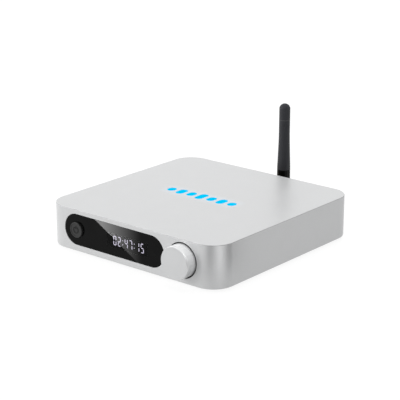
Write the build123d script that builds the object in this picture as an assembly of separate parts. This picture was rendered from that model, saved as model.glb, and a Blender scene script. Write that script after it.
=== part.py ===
from build123d import *
from math import asin, cos, pi, sin, tan
import os

# A compact network music streamer: a low square housing with a display window,
# a power button and a push and turn volume knob in front, a row of sockets
# behind, and a short hinged antenna that stands up at the back.
# Millimetres. X is right, Y is back, Z is up. The origin is the centre of the
# footprint on the surface that the feet stand on.

os.makedirs("parts", exist_ok=True)

# General
overrun = 1.0
slip = 0.05
press_slip = 0.02

# Housing shell
body_width = 120.0
body_depth = 120.0
body_height = 23.8
corner_radius = 12.25
side_wall = 2.0
front_wall = 2.5
rear_wall = 2.5
top_wall = 2.0
top_edge_radius = 0.4
bottom_edge_radius = 0.8
corner_boss_radius = 3.5
corner_boss_inset = 9.0
control_axis_share = 0.52185

# Feet
foot_stand = 1.5
foot_radius = 6.0
foot_inset = 18.0
foot_pocket_depth = 0.5
foot_pocket_gap = 0.3
foot_chamfer = 0.5

# Base plate
base_recess = 0.4
base_thickness = 2.0
base_gap = 0.15
standoff_height = 2.0
standoff_radius = 3.0
vent_slot_count = 6
vent_slot_width = 2.2
vent_slot_length = 24.0
vent_slot_pitch = 6.0

# Base screws
base_screw_radius = 1.2
base_screw_reach = 7.0
base_screw_head_radius = 2.3
base_screw_head_height = 1.0
base_screw_head_gap = 0.2
base_screw_hole_gap = 0.15
screw_thread_gap = 0.03
screw_socket_share = 0.45
screw_socket_depth_share = 0.5

# Display window
window_top_web = 2.63
window_left_inset = 13.8
window_knob_web = 2.45
window_recess = 0.3
window_thickness = 1.0
window_gap = 0.08
window_ledge = 1.2
window_edge_chamfer = 0.15
adhesive_thickness = 0.15
adhesive_inset = 0.2

# Power button
button_inset = 9.0
button_hole_radius = 4.48
button_gap = 0.15
button_proud = 1.0
button_flange_lip = 0.9
button_flange_thickness = 0.8
button_stem_radius = 2.0
button_travel = 0.4
button_edge_fillet = 0.25
button_rim_width = 0.4
button_mark_height = 0.15
button_mark_radius = 1.9
button_mark_stroke = 0.45
button_mark_mouth = 1.7
button_mark_bar = 1.9

# Power switch
switch_size = 6.0
switch_depth = 3.4
switch_tip_radius = 1.6
switch_tip_length = 1.2

# Knob
knob_right_inset = 22.75
knob_ring_gap = 0.72
knob_proud = 6.35
knob_sunk = 0.8
knob_wall = 1.3
knob_face_thickness = 1.6
knob_chamfer = 0.35
knob_travel = 0.5
knob_top_web = 1.68
knob_insert_length = 2.95

# Knob well behind the knob
well_recess = 1.7
well_gap = 0.05
well_liner_gap = 0.3
well_liner_recess = 0.3
well_flange_lip = 1.2
well_flange_thickness = 0.8
well_flange_gap = 0.2

# Rotary encoder
encoder_size = 12.0
encoder_depth = 6.5
bushing_radius = 3.5
bushing_length = 4.5
bushing_gap = 0.05
encoder_washer_radius = 5.3
encoder_washer_thickness = 0.4
encoder_nut_flats = 9.4
encoder_nut_thickness = 2.0
shaft_radius = 3.0
shaft_gap = 0.04
shaft_flat_depth = 1.5
shaft_end_gap = 0.2
plunger_radius = 3.6
plunger_thickness = 1.4
plunger_gap = 0.1
plunger_depth = 2.7

# Front board
front_board_thickness = 1.6
front_board_side_inset = 13.5
front_board_bottom_gap = 0.5
front_board_top_gap = 0.8
post_radius = 2.0
post_rise_share = 0.4
post_left_inset = 16.0
post_knob_offset = 12.2
board_screw_radius = 1.0
board_screw_reach = 5.0
board_screw_head_radius = 1.9
board_screw_head_height = 1.1
board_hole_gap = 0.1

# Display module
display_share = 0.148
oled_width = 30.0
oled_height = 11.5
oled_thickness = 1.45
oled_front_gap = 0.05
carrier_wall = 0.8
carrier_lip = 1.1
carrier_floor = 1.0
carrier_gap = 0.05
flex_width = 12.0
flex_thickness = 0.3
flex_drop = 3.6
flex_slot_gap = 0.2

# Light bars in the top
bar_count = 7
bar_width = 4.8
sign_span = 47.7
sign_height = 9.5
sign_y = 0.55
sign_x = -0.35
bar_height_shares = (0.6, 0.85, 0.7, 1.0, 0.7, 0.85, 0.6)
bar_gap = 0.04
bar_sink = 0.03
guide_margin = 2.0
guide_thickness = 1.2

# Light board
light_post_radius = 2.5
light_post_drop = 3.0
light_post_outset = 6.0
light_board_thickness = 1.0
light_board_width = 9.0
light_screw_radius = 0.95
light_screw_reach = 2.2
light_screw_head_radius = 1.8
light_screw_head_height = 0.9
led_count = 7
led_length = 2.0
led_width = 1.4
led_height = 0.7

# Main board
board_thickness = 1.6
board_side_inset = 13.5
board_front_gap = 2.2
board_rear_gap = 0.3
board_screw_side_inset = 4.0
board_screw_front_inset = 8.4
board_screw_rear_inset = 17.2

# Board link
link_width = 22.0
link_height = 6.0

# Parts on the main board: length, width and height, then the centre as shares
# of the board's half width and half length, from the board's middle
processor_size = (14.0, 14.0, 1.2)
processor_shares = (0.172, -0.297)
thermal_pad_thickness = 0.5
spreader_size = (26.0, 26.0)
spreader_base_height = 1.5
spreader_height = 6.0
fin_count = 7
fin_thickness = 1.2
memory_size = (9.0, 13.0, 1.0)
memory_shares = ((0.591, -0.475), (0.591, -0.139))
dac_size = (9.0, 9.0, 1.0)
dac_shares = (-0.602, 0.127)
amplifier_size = (5.0, 6.0, 1.5)
amplifier_shares = ((-0.796, 0.322), (-0.613, 0.322))
crystal_size = (5.0, 3.2, 1.3)
crystal_shares = ((-0.602, -0.066), (-0.817, 0.127), (0.172, 0.089))
inductor_size = (6.0, 6.0, 3.2)
inductor_shares = ((0.791, 0.755), (0.667, 0.533), (0.817, 0.359))
capacitor_radius = 3.15
capacitor_height = 5.8
capacitor_foot = 6.6
capacitor_foot_height = 1.0
capacitor_shares = (
    (-0.781, 0.494), (-0.587, 0.494), (-0.781, 0.658), (-0.587, 0.658), (0.602, 0.282)
)
film_size = (7.2, 2.6, 6.5)
film_shares = ((-0.419, 0.243), (-0.419, 0.349))

# Radio module
radio_size = (12.0, 15.0, 1.0)
radio_shares = (-0.14, 0.272)
radio_port_radius = 1.3
radio_port_height = 0.65
radio_port_inset = 3.0
can_height = 1.6
can_inset = 0.6
can_port_room = 6.0

# Rear panel
panel_side_inset = 14.0
panel_edge_inset = 3.5
panel_corner_radius = 2.5
panel_thickness = 1.3
panel_recess = 0.2
panel_gap = 0.08
panel_ledge = 1.2
port_gap = 0.15

# Line output sockets
rca_right_share = -0.8152
rca_left_share = -0.5435
rca_radius = 4.15
rca_bore_radius = 3.55
rca_pin_radius = 1.6
rca_proud = 9.0
rca_block_depth = 10.0
rca_block_side = 4.8
rca_block_top = 5.0
rca_wall_gap = 0.1
rca_collar_radius = 4.75
rca_collar_thickness = 1.0
rca_core_recess = 0.6
rca_waist_step = 0.3
rca_barrel_gap = 0.3

# Optical socket
optical_share = -0.2696
optical_width = 9.7
optical_height = 10.0
optical_depth = 13.5
optical_socket_width = 7.0
optical_socket_height = 7.4
optical_socket_depth = 11.4
optical_socket_rise = 1.6
shutter_thickness = 0.7
shutter_recess = 2.6
shutter_side_gap = 0.12
shutter_pin_radius = 0.35
shutter_pin_length = 0.8
shutter_pin_gap = 0.05
shutter_top_gap = 0.06
lens_radius = 1.3
lens_length = 1.5

# Network socket
lan_share = 0.3543
lan_width = 15.9
lan_height = 11.5
lan_depth = 21.3
lan_skin = 0.3
lan_cavity_width = 11.8
lan_cavity_height = 8.2
lan_cavity_depth = 12.5
lan_cavity_rise = 1.3
lan_notch_width = 6.2
lan_notch_height = 1.2
lan_contact_count = 8
lan_contact_pitch = 1.02
lan_contact_width = 0.4
lan_contact_height = 0.5
lan_contact_length = 8.0

# Pairing button
pair_share = 0.6413
pair_rise = 3.6
pair_radius = 1.4
pair_gap = 0.1
pair_proud = 0.4
pair_flange_radius = 2.1
pair_flange_thickness = 0.6
pair_travel = 0.3
pair_stem = 1.2
pair_switch_width = 4.6
pair_switch_height = 6.0
pair_switch_depth = 3.6

# Power socket
usb_share = 0.8348
usb_width = 8.94
usb_height = 3.26
usb_depth = 7.3
usb_skin = 0.32
usb_tongue_width = 6.7
usb_tongue_height = 0.7
usb_tongue_length = 5.0
usb_back_thickness = 1.2

# Antenna socket
sma_radius = 3.1
sma_reach = 8.4
sma_bore_radius = 2.2
sma_bore_depth = 4.5
sma_flats = 8.0
sma_flange_thickness = 2.0
sma_tail_radius = 1.6
sma_tail_length = 5.4
sma_washer_radius = 4.6
sma_washer_thickness = 0.5
sma_nut_thickness = 2.0

# Antenna
antenna_reach = 16.0
antenna_nut_radius = 4.6
antenna_nut_length = 7.6
antenna_nut_gap = 0.3
antenna_nut_lip = 0.8
antenna_nut_bore_gap = 0.12
antenna_nut_rib_count = 20
antenna_nut_groove_width = 0.5
antenna_nut_groove_depth = 0.3
fork_flange_radius = 3.0
fork_flange_thickness = 0.8
fork_flange_gap = 0.08
fork_neck_radius = 2.5
fork_barrel_radius = 4.2
fork_barrel_gap = 0.3
fork_barrel_length = 1.5
fork_radius = 3.7
fork_half_gap = 1.55
tongue_gap = 0.05
tongue_radius = 3.3
tilt_pin_radius = 1.2
tilt_pin_gap = 0.04
knuckle_rise = 4.0
knuckle_radius = 3.88
knuckle_groove_count = 12
knuckle_groove_width = 0.5
knuckle_groove_depth = 0.3
sleeve_bottom_height = 22.6
sleeve_length = 39.7
sleeve_dome_rise = 2.7
sleeve_height_shares = (0.0, 0.147, 0.306, 0.45, 0.58)
sleeve_radius_shares = (1.0, 0.951, 0.892, 0.848, 0.829)
groove_drops = (13.8, 12.6)
groove_width = 0.35
groove_depth = 0.12
spigot_radius = 2.3
spigot_length = 6.0
spigot_end_gap = 0.2
sleeve_bore_radius = 1.5
sleeve_tip_thickness = 3.5
radiator_radius = 0.8
radiator_seat_depth = 4.0
radiator_top_gap = 1.0

# Antenna lead
lead_radius = 0.65
lead_end_run = 8.0
plug_size = (2.6, 4.0, 1.3)
bend_share = 0.45

# Places worked out from the sizes above
front_y = -body_depth / 2
rear_y = body_depth / 2
front_inner_y = front_y + front_wall
rear_inner_y = rear_y - rear_wall
shell_bottom_z = foot_stand
shell_top_z = foot_stand + body_height
inner_top_z = shell_top_z - top_wall
base_bottom_z = shell_bottom_z + base_recess
base_top_z = base_bottom_z + base_thickness
board_bottom_z = base_top_z + standoff_height
board_top_z = board_bottom_z + board_thickness
control_axis_height = control_axis_share * body_height
control_z = shell_bottom_z + control_axis_height
jack_z = control_z
boss_x = body_width / 2 - corner_boss_inset
boss_y = body_depth / 2 - corner_boss_inset
foot_x = body_width / 2 - foot_inset
foot_y = body_depth / 2 - foot_inset
window_front_y = front_y + window_recess
window_back_y = window_front_y + window_thickness
ledge_front_y = window_back_y + adhesive_thickness
window_height = 2 * (body_height - control_axis_height - window_top_web)
button_flange_radius = button_hole_radius + button_flange_lip
knob_hole_radius = body_height - control_axis_height - knob_top_web
knob_radius = knob_hole_radius - knob_ring_gap
well_flange_radius = knob_hole_radius + well_flange_lip
knob_x = body_width / 2 - knob_right_inset
window_left_x = -body_width / 2 + window_left_inset
window_right_x = knob_x - knob_hole_radius - window_knob_web
window_width = window_right_x - window_left_x
window_x = (window_left_x + window_right_x) / 2
button_x = window_left_x + button_inset
display_x = window_x + display_share * window_width
well_front_y = front_y + well_recess
encoder_front_y = front_inner_y + well_flange_thickness
front_board_front_y = encoder_front_y + encoder_depth
front_board_back_y = front_board_front_y + front_board_thickness
board_front_y = front_board_back_y + board_front_gap
board_rear_y = rear_inner_y - board_rear_gap
front_board_half_width = body_width / 2 - front_board_side_inset
board_half_width = body_width / 2 - board_side_inset
board_half_length = (board_rear_y - board_front_y) / 2
board_middle_y = (board_rear_y + board_front_y) / 2
board_screw_x = board_half_width - board_screw_side_inset
board_screw_front_y = board_front_y + board_screw_front_inset
board_screw_rear_y = board_rear_y - board_screw_rear_inset
post_rise = post_rise_share * window_height
post_places = [
    (-body_width / 2 + post_left_inset, control_z - post_rise),
    (-body_width / 2 + post_left_inset, control_z + post_rise),
    (knob_x - post_knob_offset, control_z - post_rise),
    (knob_x - post_knob_offset, control_z + post_rise),
]
board_screw_places = [
    (side * board_screw_x, y)
    for side in (-1, 1)
    for y in (board_screw_front_y, board_screw_rear_y)
]
panel_z = control_z
panel_width = body_width - 2 * panel_side_inset
panel_height = body_height - 2 * panel_edge_inset
rca_right_x = rca_right_share * panel_width / 2
rca_left_x = rca_left_share * panel_width / 2
optical_x = optical_share * panel_width / 2
lan_x = lan_share * panel_width / 2
pair_x = pair_share * panel_width / 2
usb_x = usb_share * panel_width / 2
panel_outer_y = rear_y - panel_recess
panel_inner_y = panel_outer_y - panel_thickness
light_post_x = sign_span / 2 + light_post_outset
light_board_top_z = inner_top_z - light_post_drop
antenna_y = rear_y + antenna_reach
thread_end_y = rear_y + sma_reach
sma_nut_y = panel_outer_y + sma_washer_thickness
antenna_nut_y = sma_nut_y + sma_nut_thickness + antenna_nut_gap
antenna_nut_end_y = antenna_nut_y + antenna_nut_length
fork_barrel_y = antenna_nut_end_y + fork_barrel_gap

low = (Align.CENTER, Align.CENTER, Align.MIN)


def rod_z(radius, length, x, y, z):
    return Pos(x, y, z) * Cylinder(radius, length, align=low)


def rod_y(radius, length, x, y, z):
    return Pos(x, y, z) * Rot(-90, 0, 0) * Cylinder(radius, length, align=low)


def rod_x(radius, length, x, y, z):
    return Pos(x, y, z) * Rot(0, 90, 0) * Cylinder(radius, length, align=low)


def block(x0, x1, y0, y1, z0, z1):
    centre = Pos((x0 + x1) / 2, (y0 + y1) / 2, (z0 + z1) / 2)
    return centre * Box(x1 - x0, y1 - y0, z1 - z0)


def block_at(size, x, y, z):
    return Pos(x, y, z) * Box(size[0], size[1], size[2], align=low)


def along_y(sketch, length, x, y, z):
    return Pos(x, y, z) * Rot(-90, 0, 0) * extrude(sketch, length)


def along_z(sketch, length, x, y, z):
    return Pos(x, y, z) * extrude(sketch, length)


def turned(points):
    outline = Plane.XZ * make_face(Polyline(*points, close=True))
    return revolve(outline, Axis.Z, 360)


def facing_front(shape, x, y, z):
    return Pos(x, y, z) * Rot(90, 0, 0) * shape


def save(name, *shapes):
    solids = [solid for shape in shapes for solid in shape.solids()]
    body = solids[0] if len(solids) == 1 else Compound(solids)
    body.label = name
    export_step(body, f"parts/{name}.step")


def screw(radius, reach, head_radius, head_height):
    # Stands on its head's underside at zero, with the shank going up.
    head = Pos(0, 0, -head_height) * Cylinder(head_radius, head_height, align=low)
    shank = Cylinder(radius, reach, align=low)
    socket = extrude(
        RegularPolygon(head_radius * screw_socket_share, 6),
        head_height * screw_socket_depth_share,
    )
    return head + shank - Pos(0, 0, -head_height) * socket


# Shell


def sign_bar_places():
    pitch = (sign_span - bar_width) / (bar_count - 1)
    first = sign_x - sign_span / 2 + bar_width / 2
    places = []
    for index in range(bar_count):
        share = bar_height_shares[index % len(bar_height_shares)]
        places.append((first + index * pitch, sign_height * share))
    return places


def sign_bars(grow, bottom_z, top_z):
    bars = []
    for x, height in sign_bar_places():
        outline = SlotOverall(height + 2 * grow, bar_width + 2 * grow, rotation=90)
        bars.append(along_z(outline, top_z - bottom_z, x, sign_y, bottom_z))
    return bars


def rca_places():
    return {"left": rca_left_x, "right": rca_right_x}


def port_cuts(y0, y1):
    length = y1 - y0
    cuts = []
    for x in rca_places().values():
        cuts.append(rod_y(rca_radius + port_gap, length, x, y0, jack_z))
    cuts.append(rod_y(sma_radius + port_gap, length, 0, y0, jack_z))
    cuts.append(rod_y(pair_radius + pair_gap, length, pair_x, y0, board_top_z + pair_rise))
    optical = Rectangle(optical_width + 2 * port_gap, optical_height + 2 * port_gap)
    cuts.append(along_y(optical, length, optical_x, y0, board_top_z + optical_height / 2))
    network = Rectangle(lan_width + 2 * port_gap, lan_height + 2 * port_gap)
    cuts.append(along_y(network, length, lan_x, y0, board_top_z + lan_height / 2))
    power = SlotOverall(usb_width + 2 * port_gap, usb_height + 2 * port_gap)
    cuts.append(along_y(power, length, usb_x, y0, board_top_z + usb_height / 2))
    return cuts


def housing_shell():
    outline = RectangleRounded(body_width, body_depth, corner_radius)
    shell = along_z(outline, body_height, 0, 0, shell_bottom_z)
    shell = fillet(shell.faces().sort_by(Axis.Z)[-1].edges(), top_edge_radius)
    shell = fillet(shell.faces().sort_by(Axis.Z)[0].edges(), bottom_edge_radius)
    inner = RectangleRounded(
        body_width - 2 * side_wall,
        body_depth - front_wall - rear_wall,
        corner_radius - side_wall,
    )
    hollow_height = inner_top_z - shell_bottom_z + overrun
    hollow_y = (front_wall - rear_wall) / 2
    shell -= along_z(inner, hollow_height, 0, hollow_y, shell_bottom_z - overrun)
    boss_length = inner_top_z - base_top_z
    for x in (-boss_x, boss_x):
        for y in (-boss_y, boss_y):
            shell += rod_z(corner_boss_radius, boss_length, x, y, base_top_z)
    screw_hole = base_screw_radius + screw_thread_gap
    for x in (-boss_x, boss_x):
        for y in (-boss_y, boss_y):
            shell -= rod_z(screw_hole, base_screw_reach + overrun, x, y, base_top_z)
    post_length = front_board_front_y - front_inner_y
    for x, z in post_places:
        shell += rod_y(post_radius, post_length, x, front_inner_y, z)
    for x, z in post_places:
        hole = board_screw_radius + screw_thread_gap
        start = front_board_front_y - board_screw_reach
        shell -= rod_y(hole, board_screw_reach + overrun, x, start, z)
    for x in (-light_post_x, light_post_x):
        at_x = sign_x + x
        shell += rod_z(light_post_radius, light_post_drop, at_x, sign_y, light_board_top_z)
        hole = light_screw_radius + screw_thread_gap
        shell -= rod_z(hole, light_screw_reach + slip, at_x, sign_y, light_board_top_z)
    pocket = SlotOverall(window_width + 2 * window_gap, window_height + 2 * window_gap)
    pocket_depth = ledge_front_y - front_y + overrun
    shell -= along_y(pocket, pocket_depth, window_x, front_y - overrun, control_z)
    opening = SlotOverall(window_width - 2 * window_ledge, window_height - 2 * window_ledge)
    through = front_wall + 2 * overrun
    shell -= along_y(opening, through, window_x, front_y - overrun, control_z)
    shell -= rod_y(knob_hole_radius, through, knob_x, front_y - overrun, control_z)
    for bar in sign_bars(bar_gap, inner_top_z - overrun, shell_top_z + overrun):
        shell -= bar
    recess = RectangleRounded(
        panel_width + 2 * panel_gap,
        panel_height + 2 * panel_gap,
        panel_corner_radius + panel_gap,
    )
    recess_depth = rear_y - panel_inner_y + overrun
    shell -= along_y(recess, recess_depth, 0, panel_inner_y, panel_z)
    opening = RectangleRounded(
        panel_width - 2 * panel_ledge + 2 * panel_gap,
        panel_height - 2 * panel_ledge + 2 * panel_gap,
        panel_corner_radius - panel_ledge + panel_gap,
    )
    opening_depth = panel_inner_y - rear_inner_y + 2 * overrun
    shell -= along_y(opening, opening_depth, 0, rear_inner_y - overrun, panel_z)
    for cut in port_cuts(rear_inner_y - overrun, rear_y + overrun):
        shell -= cut
    return shell


def base_plate():
    outline = RectangleRounded(
        body_width - 2 * side_wall - 2 * base_gap,
        body_depth - front_wall - rear_wall - 2 * base_gap,
        corner_radius - side_wall - base_gap,
    )
    centre_y = (front_wall - rear_wall) / 2
    plate = along_z(outline, base_thickness, 0, centre_y, base_bottom_z)
    for x in (-foot_x, foot_x):
        for y in (-foot_y, foot_y):
            radius = foot_radius + foot_pocket_gap
            depth = foot_pocket_depth + overrun
            plate -= rod_z(radius, depth, x, y, base_bottom_z - overrun)
    head_hole = base_screw_head_radius + base_screw_head_gap
    head_depth = base_screw_head_height + overrun
    shank_hole = base_screw_radius + base_screw_hole_gap
    for x in (-boss_x, boss_x):
        for y in (-boss_y, boss_y):
            plate -= rod_z(head_hole, head_depth, x, y, base_bottom_z - overrun)
            plate -= rod_z(shank_hole, base_thickness, x, y, base_bottom_z)
    for index in range(vent_slot_count):
        x = (index - (vent_slot_count - 1) / 2) * vent_slot_pitch
        slot = SlotOverall(vent_slot_length, vent_slot_width, rotation=90)
        plate -= along_z(slot, base_thickness + 2 * overrun, x, 0, base_bottom_z - overrun)
    for x, y in board_screw_places:
        plate += rod_z(standoff_radius, standoff_height, x, y, base_top_z)
    for x, y in board_screw_places:
        hole = board_screw_radius + screw_thread_gap
        depth = min(standoff_height, board_screw_reach)
        plate -= rod_z(hole, depth, x, y, base_top_z)
    return plate


def rubber_feet():
    height = foot_stand + base_recess + foot_pocket_depth
    feet = []
    for x in (-foot_x, foot_x):
        for y in (-foot_y, foot_y):
            foot = Cylinder(foot_radius, height, align=low)
            foot = chamfer(foot.faces().sort_by(Axis.Z)[0].edges(), foot_chamfer)
            feet.append(Pos(x, y, 0) * foot)
    return feet


def base_screws():
    reach = base_thickness - base_screw_head_height + base_screw_reach
    one = screw(base_screw_radius, reach, base_screw_head_radius, base_screw_head_height)
    z = base_bottom_z + base_screw_head_height
    return [Pos(x, y, z) * one for x in (-boss_x, boss_x) for y in (-boss_y, boss_y)]


# Front


def display_window():
    pane = extrude(SlotOverall(window_width, window_height), window_thickness)
    pane = chamfer(pane.faces().sort_by(Axis.Z)[-1].edges(), window_edge_chamfer)
    pane = facing_front(pane, window_x, window_back_y, control_z)
    start = window_front_y - overrun
    length = window_thickness + 2 * overrun
    return pane - rod_y(button_hole_radius, length, button_x, start, control_z)


def window_adhesive():
    outer = SlotOverall(window_width - 2 * adhesive_inset, window_height - 2 * adhesive_inset)
    inner_grow = 2 * adhesive_inset - 2 * window_ledge
    inner = SlotOverall(window_width + inner_grow, window_height + inner_grow)
    return along_y(outer - inner, adhesive_thickness, window_x, window_back_y, control_z)


def power_button():
    radius = button_hole_radius - button_gap
    switch_front_y = front_board_front_y - switch_depth - switch_tip_length
    stem_end_y = switch_front_y - button_travel - slip
    flange_front_y = window_back_y + slip
    cap = Cylinder(radius, flange_front_y - front_y + button_proud, align=low)
    cap = fillet(cap.faces().sort_by(Axis.Z)[-1].edges(), button_edge_fillet)
    top = flange_front_y - front_y + button_proud
    dish_radius = radius - button_edge_fillet - button_rim_width
    cap -= Pos(0, 0, top - button_mark_height) * Cylinder(dish_radius, overrun, align=low)
    ring = Circle(button_mark_radius) - Circle(button_mark_radius - button_mark_stroke)
    ring -= Pos(0, button_mark_radius) * Rectangle(button_mark_mouth, 2 * button_mark_bar)
    bar = Pos(0, button_mark_radius - button_mark_bar / 4)
    bar = bar * SlotOverall(button_mark_bar, button_mark_stroke, rotation=90)
    mark = extrude(ring, button_mark_height) + extrude(bar, button_mark_height)
    cap += Pos(0, 0, top - button_mark_height) * mark
    cap = facing_front(cap, button_x, flange_front_y, control_z)
    flange = rod_y(
        button_flange_radius, button_flange_thickness, button_x, flange_front_y, control_z
    )
    stem_length = stem_end_y - flange_front_y
    stem = rod_y(button_stem_radius, stem_length, button_x, flange_front_y, control_z)
    return cap + flange + stem


def power_switch():
    half = switch_size / 2
    body = block(
        button_x - half, button_x + half,
        front_board_front_y - switch_depth, front_board_front_y,
        control_z - half, control_z + half,
    )
    tip_y = front_board_front_y - switch_depth - switch_tip_length
    return body + rod_y(switch_tip_radius, switch_tip_length, button_x, tip_y, control_z)


def knob_length():
    return knob_proud + knob_sunk


def knob_cap():
    length = knob_length()
    inner = knob_radius - knob_wall
    cap = turned([
        (0, length - knob_face_thickness),
        (inner, length - knob_face_thickness),
        (inner, 0),
        (knob_radius, 0),
        (knob_radius, length - knob_chamfer),
        (knob_radius - knob_chamfer, length),
        (0, length),
    ])
    return facing_front(cap, knob_x, front_y + knob_sunk, control_z)


def knob_inner_y():
    return front_y - knob_proud + knob_face_thickness


def knob_insert():
    radius = knob_radius - knob_wall - press_slip
    insert = rod_y(radius, knob_insert_length, knob_x, knob_inner_y(), control_z)
    hole = d_shaft(shaft_radius + press_slip, knob_insert_length, press_slip)
    return insert - Pos(knob_x, knob_inner_y(), control_z) * hole


def d_shaft(radius, length, flat_gap):
    rod = Rot(-90, 0, 0) * Cylinder(radius, length, align=low)
    top = shaft_radius - shaft_flat_depth + flat_gap
    return rod - block(-radius, radius, -overrun, length + overrun, top, 2 * radius)


def plunger_front_y():
    return front_board_front_y - plunger_depth - plunger_thickness


def encoder_shaft():
    start_y = knob_inner_y() + shaft_end_gap
    flat_length = knob_insert_length
    end_y = plunger_front_y() - slip
    flat = Pos(knob_x, start_y, control_z) * d_shaft(shaft_radius, flat_length, 0)
    round_y = start_y + flat_length
    return flat + rod_y(shaft_radius, end_y - round_y, knob_x, round_y, control_z)


def encoder_plunger():
    return rod_y(plunger_radius, plunger_thickness, knob_x, plunger_front_y(), control_z)


def encoder_housing():
    half = encoder_size / 2
    housing = block(
        knob_x - half, knob_x + half,
        encoder_front_y, front_board_front_y,
        control_z - half, control_z + half,
    )
    housing -= rod_y(shaft_radius + shaft_gap, encoder_depth, knob_x, encoder_front_y, control_z)
    start = plunger_front_y() - plunger_gap
    length = front_board_front_y - start
    return housing - rod_y(plunger_radius + plunger_gap, length, knob_x, start, control_z)


def encoder_bushing():
    start = encoder_front_y - bushing_length
    tube = rod_y(bushing_radius, bushing_length, knob_x, start, control_z)
    return tube - rod_y(shaft_radius + shaft_gap, bushing_length, knob_x, start, control_z)


def encoder_washer():
    start = well_front_y - encoder_washer_thickness
    disc = rod_y(encoder_washer_radius, encoder_washer_thickness, knob_x, start, control_z)
    hole = bushing_radius + bushing_gap
    return disc - rod_y(hole, encoder_washer_thickness, knob_x, start, control_z)


def encoder_nut():
    start = well_front_y - encoder_washer_thickness - encoder_nut_thickness
    outline = RegularPolygon(encoder_nut_flats / 2, 6, major_radius=False)
    outline -= Circle(bushing_radius + bushing_gap)
    return along_y(outline, encoder_nut_thickness, knob_x, start, control_z)


def knob_well():
    radius = knob_hole_radius - well_gap
    well = rod_y(radius, front_inner_y - well_front_y, knob_x, well_front_y, control_z)
    flange = rod_y(
        well_flange_radius, well_flange_thickness, knob_x, front_inner_y, control_z
    )
    well += flange & block(
        knob_x - well_flange_radius, knob_x + well_flange_radius,
        front_inner_y, encoder_front_y,
        base_top_z + well_flange_gap, inner_top_z - well_flange_gap,
    )
    # A thin black liner rings the knob, just behind the front face.
    liner_y = front_y + well_liner_recess
    liner_depth = well_front_y - liner_y
    liner = rod_y(radius, liner_depth, knob_x, liner_y, control_z)
    liner -= rod_y(knob_radius + well_liner_gap, liner_depth, knob_x, liner_y, control_z)
    well += liner
    depth = encoder_front_y - well_front_y
    return well - rod_y(bushing_radius + bushing_gap, depth, knob_x, well_front_y, control_z)


def oled_front_y():
    return front_inner_y + oled_front_gap


def oled_panel():
    half = oled_width / 2
    return block(
        display_x - half, display_x + half,
        oled_front_y(), oled_front_y() + oled_thickness,
        control_z - oled_height / 2, control_z + oled_height / 2,
    )


def display_carrier():
    back_y = oled_front_y() + oled_thickness
    half_x = oled_width / 2 + carrier_gap + carrier_wall
    half_z = oled_height / 2 + carrier_gap + carrier_wall
    frame = block(
        display_x - half_x, display_x + half_x,
        back_y - carrier_lip, front_board_front_y,
        control_z - half_z, control_z + half_z,
    )
    seat_x = oled_width / 2 + carrier_gap
    seat_z = oled_height / 2 + carrier_gap
    frame -= block(
        display_x - seat_x, display_x + seat_x,
        back_y - carrier_lip, back_y,
        control_z - seat_z, control_z + seat_z,
    )
    frame -= block(
        display_x - seat_x, display_x + seat_x,
        back_y + carrier_floor, front_board_front_y,
        control_z - seat_z, control_z + seat_z,
    )
    slot_x = flex_width / 2 + flex_slot_gap
    flex_z = control_z - flex_drop
    slot_z = flex_thickness / 2 + flex_slot_gap
    return frame - block(
        display_x - slot_x, display_x + slot_x,
        back_y, back_y + carrier_floor,
        flex_z - slot_z, flex_z + slot_z,
    )


def oled_flex():
    back_y = oled_front_y() + oled_thickness
    flex_z = control_z - flex_drop
    return block(
        display_x - flex_width / 2, display_x + flex_width / 2,
        back_y, front_board_front_y,
        flex_z - flex_thickness / 2, flex_z + flex_thickness / 2,
    )


def front_board():
    board = block(
        -front_board_half_width, front_board_half_width,
        front_board_front_y, front_board_back_y,
        base_top_z + front_board_bottom_gap, inner_top_z - front_board_top_gap,
    )
    for x, z in post_places:
        hole = board_screw_radius + board_hole_gap
        board -= rod_y(hole, front_board_thickness, x, front_board_front_y, z)
    return board


def front_board_screws():
    reach = front_board_thickness + board_screw_reach - slip
    one = screw(board_screw_radius, reach, board_screw_head_radius, board_screw_head_height)
    return [facing_front(one, x, front_board_back_y, z) for x, z in post_places]


# Light bars


def light_guide():
    plate_x = sign_span + 2 * guide_margin
    plate_y = sign_height + 2 * guide_margin
    bottom_z = inner_top_z - guide_thickness
    guide = block_at((plate_x, plate_y, guide_thickness), sign_x, sign_y, bottom_z)
    for bar in sign_bars(0, inner_top_z, shell_top_z - bar_sink):
        guide += bar
    return guide


def light_board():
    length = 2 * light_post_x + 2 * light_post_radius
    bottom_z = light_board_top_z - light_board_thickness
    size = (length, light_board_width, light_board_thickness)
    board = block_at(size, sign_x, sign_y, bottom_z)
    for x in (-light_post_x, light_post_x):
        hole = light_screw_radius + board_hole_gap
        board -= rod_z(hole, light_board_thickness, sign_x + x, sign_y, bottom_z)
    return board


def light_board_leds():
    pitch = sign_span / led_count
    size = (led_length, led_width, led_height)
    lights = []
    for index in range(led_count):
        x = sign_x + (index - (led_count - 1) / 2) * pitch
        lights.append(block_at(size, x, sign_y, light_board_top_z))
    return lights


def light_board_screws():
    reach = light_board_thickness + light_screw_reach - slip
    one = screw(light_screw_radius, reach, light_screw_head_radius, light_screw_head_height)
    z = light_board_top_z - light_board_thickness
    return [Pos(sign_x + x, sign_y, z) * one for x in (-light_post_x, light_post_x)]


# Main board


def main_board():
    board = block(
        -board_half_width, board_half_width,
        board_front_y, board_rear_y,
        board_bottom_z, board_top_z,
    )
    for x, y in board_screw_places:
        board -= rod_z(board_screw_radius + board_hole_gap, board_thickness, x, y, board_bottom_z)
    return board


def main_board_screws():
    reach = board_thickness + min(standoff_height, board_screw_reach) - slip
    one = screw(board_screw_radius, reach, board_screw_head_radius, board_screw_head_height)
    return [Pos(x, y, board_top_z) * Rot(180, 0, 0) * one for x, y in board_screw_places]


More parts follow.
